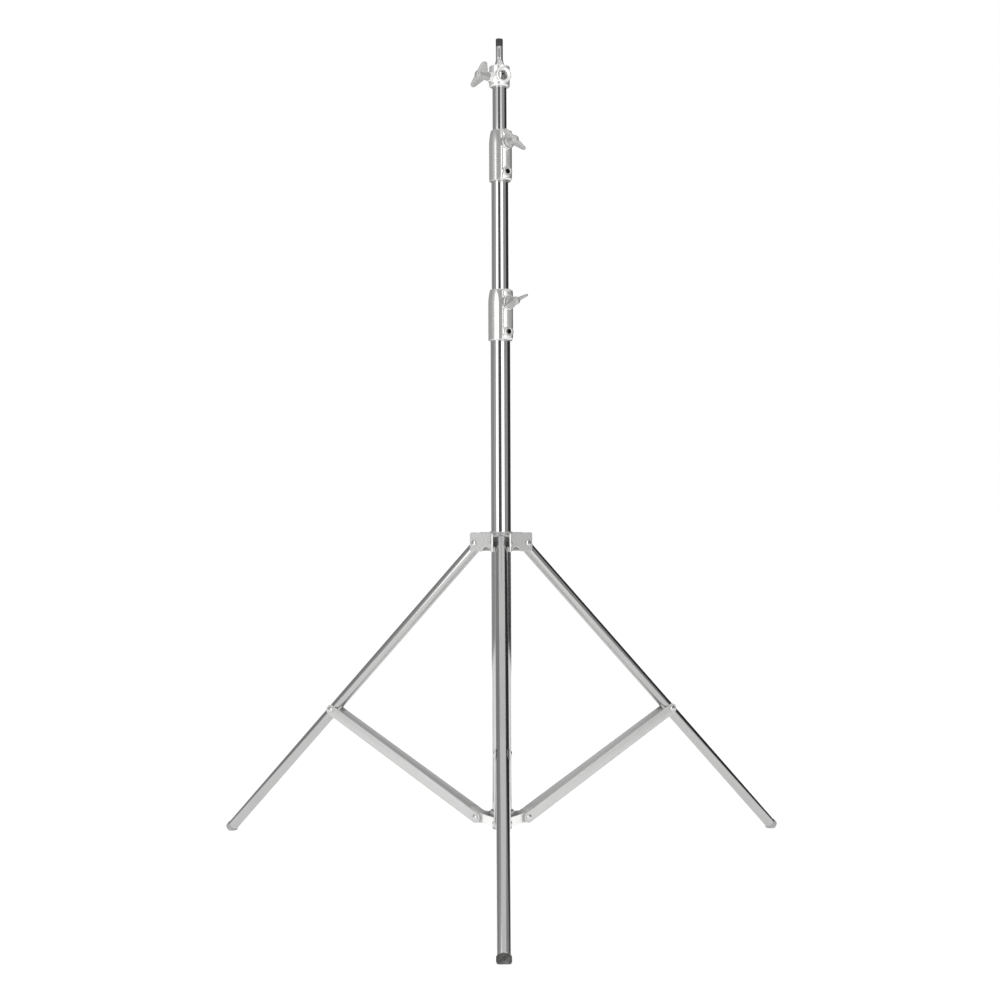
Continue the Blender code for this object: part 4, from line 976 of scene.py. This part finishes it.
# the leg pins' slot gives them black plastic: painted shade in the bracket's channel
for entry in frame["record"]["subparts"]:
    look = BLACKED if "set_screw" in entry["node"] else LOOKS[entry["material_slot"]]
    mesh = nodes[entry["node"]].data
    mesh.materials.clear()
    mesh.materials.append(look)
print("solids dressed", len(nodes))

# %% [markdown]
# ## Studio
# The stand was photographed in a white room, level with its middle. Polished tube shows the room:
# two tall lamps give it white stripes, and darker cards between and beside them give it depth.
# The cards are seen only in reflections.

# %% Floor and world
WIDE = 30.0
floor_mesh = bpy.data.meshes.new("floor")
corners = [(-WIDE, -WIDE, 0), (WIDE, -WIDE, 0), (WIDE, WIDE, 0), (-WIDE, WIDE, 0)]
floor_mesh.from_pydata(corners, [], [(0, 1, 2, 3)])
floor = bpy.data.objects.new("floor", floor_mesh)
bpy.context.scene.collection.objects.link(floor)


def white_to_camera(tree, lit, output):
    """lit for ordinary light, and white for what the camera, gloss and glass see."""
    path = tree.nodes.new("ShaderNodeLightPath")
    white = tree.nodes.new("ShaderNodeBackground")
    white.inputs["Color"].default_value = (1, 1, 1, 1)
    white.inputs["Strength"].default_value = 1.0
    seen = Value(tree, path.outputs["Is Camera Ray"])
    seen = seen.sum("MAXIMUM", seen, Value(tree, path.outputs["Is Glossy Ray"]))
    seen = seen.sum("MAXIMUM", seen, Value(tree, path.outputs["Is Transmission Ray"]))
    mix = tree.nodes.new("ShaderNodeMixShader")
    tree.links.new(seen.socket, mix.inputs[0])
    tree.links.new(lit, mix.inputs[1])
    tree.links.new(white.outputs[0], mix.inputs[2])
    tree.links.new(mix.outputs[0], output.inputs["Surface"])


world = bpy.data.worlds.new("studio")
bpy.context.scene.world = world
world.use_nodes = True
sky = world.node_tree.nodes["Background"]
sky.inputs["Color"].default_value = (1, 1, 1, 1)
sky.inputs["Strength"].default_value = 0.55
white_to_camera(world.node_tree, sky.outputs[0], world.node_tree.nodes["World Output"])

floor_look = Finish("studio_floor", Roughness=0.9, Specular_IOR_Level=0.0,
                    Emission_Color=(1, 1, 1, 1), Emission_Strength=0.55)
speck = floor_look.noise(floor_look.place(), (3.0,) * 3, 2.0)
pale = floor_look.blend(speck, (0.90, 0.90, 0.90, 1), (0.88, 0.88, 0.88, 1))
floor.data.materials.append(floor_look.feed(Base_Color=pale))
print("floor and world ready")

# %% Lamps and cards
AIM = POLE + (0, 0, 0.75)
LAMP_DISTANCE = 2.4
LAMP_HEIGHT = 1.1
SCREEN_DISTANCE = 2.9
LEFT, RIGHT, FRONT, BACK, CEILING = -1.3, 3.2, -3.2, 3.4, 3.4


def facing(spot, target):
    """The turn that points an object's -Z from spot to target."""
    return (Vector(target) - Vector(spot)).to_track_quat("-Z", "Y").to_euler()


def softbox(name, azimuth, distance, height, width, tall, power):
    """A lamp of width by tall metres that looks at the pole, with its power in watts."""
    data = bpy.data.lights.new(name, "AREA")
    data.shape = "RECTANGLE"
    data.size = width
    data.size_y = tall
    data.energy = power
    lamp = bpy.data.objects.new(name, data)
    bpy.context.scene.collection.objects.link(lamp)
    spot = POLE + direction(azimuth) * distance + (0, 0, height)
    lamp.location = spot
    lamp.rotation_euler = facing(spot, AIM)
    return lamp


def card(name, points, faces, tone):
    """A plain card that only reflections show, as bright as its tone."""
    mesh = bpy.data.meshes.new(name)
    mesh.from_pydata(points, [], faces)
    piece = bpy.data.objects.new(name, mesh)
    bpy.context.scene.collection.objects.link(piece)
    look = Finish(name, Base_Color=(0, 0, 0, 1), Roughness=1.0, Specular_IOR_Level=0.0,
                  Emission_Color=(1, 1, 1, 1), Emission_Strength=tone)
    mesh.materials.append(look.material)
    piece.visible_camera = False
    piece.visible_diffuse = False
    piece.visible_shadow = False


def screen(name, start, end, distance, tall, tone, steps=8):
    """A bent upright card between two directions, tall metres high, as bright as its tone."""
    spots = [POLE + direction(azimuth) * distance for azimuth in np.linspace(start, end, steps + 1)]
    points = [tuple(spot + (0, 0, height)) for height in (0.0, tall) for spot in spots]
    card(name, points, [(k, k + 1, k + steps + 2, k + steps + 1) for k in range(steps)], tone)


softbox("left_lamp", -41, LAMP_DISTANCE, LAMP_HEIGHT, 1.1, 2.2, 12)
softbox("right_lamp", 26.5, LAMP_DISTANCE, LAMP_HEIGHT, 1.3, 2.2, 13)
softbox("top_lamp", -20, 1.6, 2.9, 1.2, 1.2, 5).visible_glossy = False
screen("left_screen", -180, -85, SCREEN_DISTANCE, 4.3, 0.38)
screen("left_veil", -85, -56, SCREEN_DISTANCE, 4.3, 0.55)
screen("camera_screen", -26, 9, 3.2, CEILING, 0.12)
screen("right_veil", 43, 90, SCREEN_DISTANCE, CEILING, 0.42)
screen("right_screen", 90, 180, SCREEN_DISTANCE, CEILING, 0.04)
corners = [(x, y, CEILING) for x, y in ((LEFT, FRONT), (RIGHT, FRONT), (RIGHT, BACK), (LEFT, BACK))]
card("ceiling", corners, [(0, 1, 2, 3)], 1.02)
print("lamps and cards ready")

# %% [markdown]
# ## Camera
# The photograph was taken level, 650 mm above the floor and 2.855 m from the pole, with a lens of
# about 58 mm on a 36 mm frame. Its picture leans by a fifth of a degree, so the camera does too.
# The camera stands 0.15 degrees to the left of the front leg's direction, and its middle passes the
# pole by 1.7 mm.

# %% Camera
EYE_HEIGHT = 0.65
EYE_DISTANCE = 2.855
LENS, SENSOR = 57.56, 36.0
LEAN = math.radians(0.21)
TURN = -0.15
OFFSET = 1.7 * MM
camera_data = bpy.data.cameras.new("camera")
camera_data.lens = LENS
camera_data.sensor_width = SENSOR
camera_data.clip_end = 100.0
camera = bpy.data.objects.new("camera", camera_data)
bpy.context.scene.collection.objects.link(camera)
eye = POLE + direction(TURN) * EYE_DISTANCE + direction(TURN - 90) * OFFSET
camera.location = eye + (0, 0, EYE_HEIGHT)
camera.rotation_mode = "XYZ"
camera.rotation_euler = (math.pi / 2, LEAN, math.radians(TURN))
bpy.context.scene.camera = camera
bpy.context.scene.view_settings.view_transform = "Standard"
print("camera at", tuple(round(value, 4) for value in camera.location))
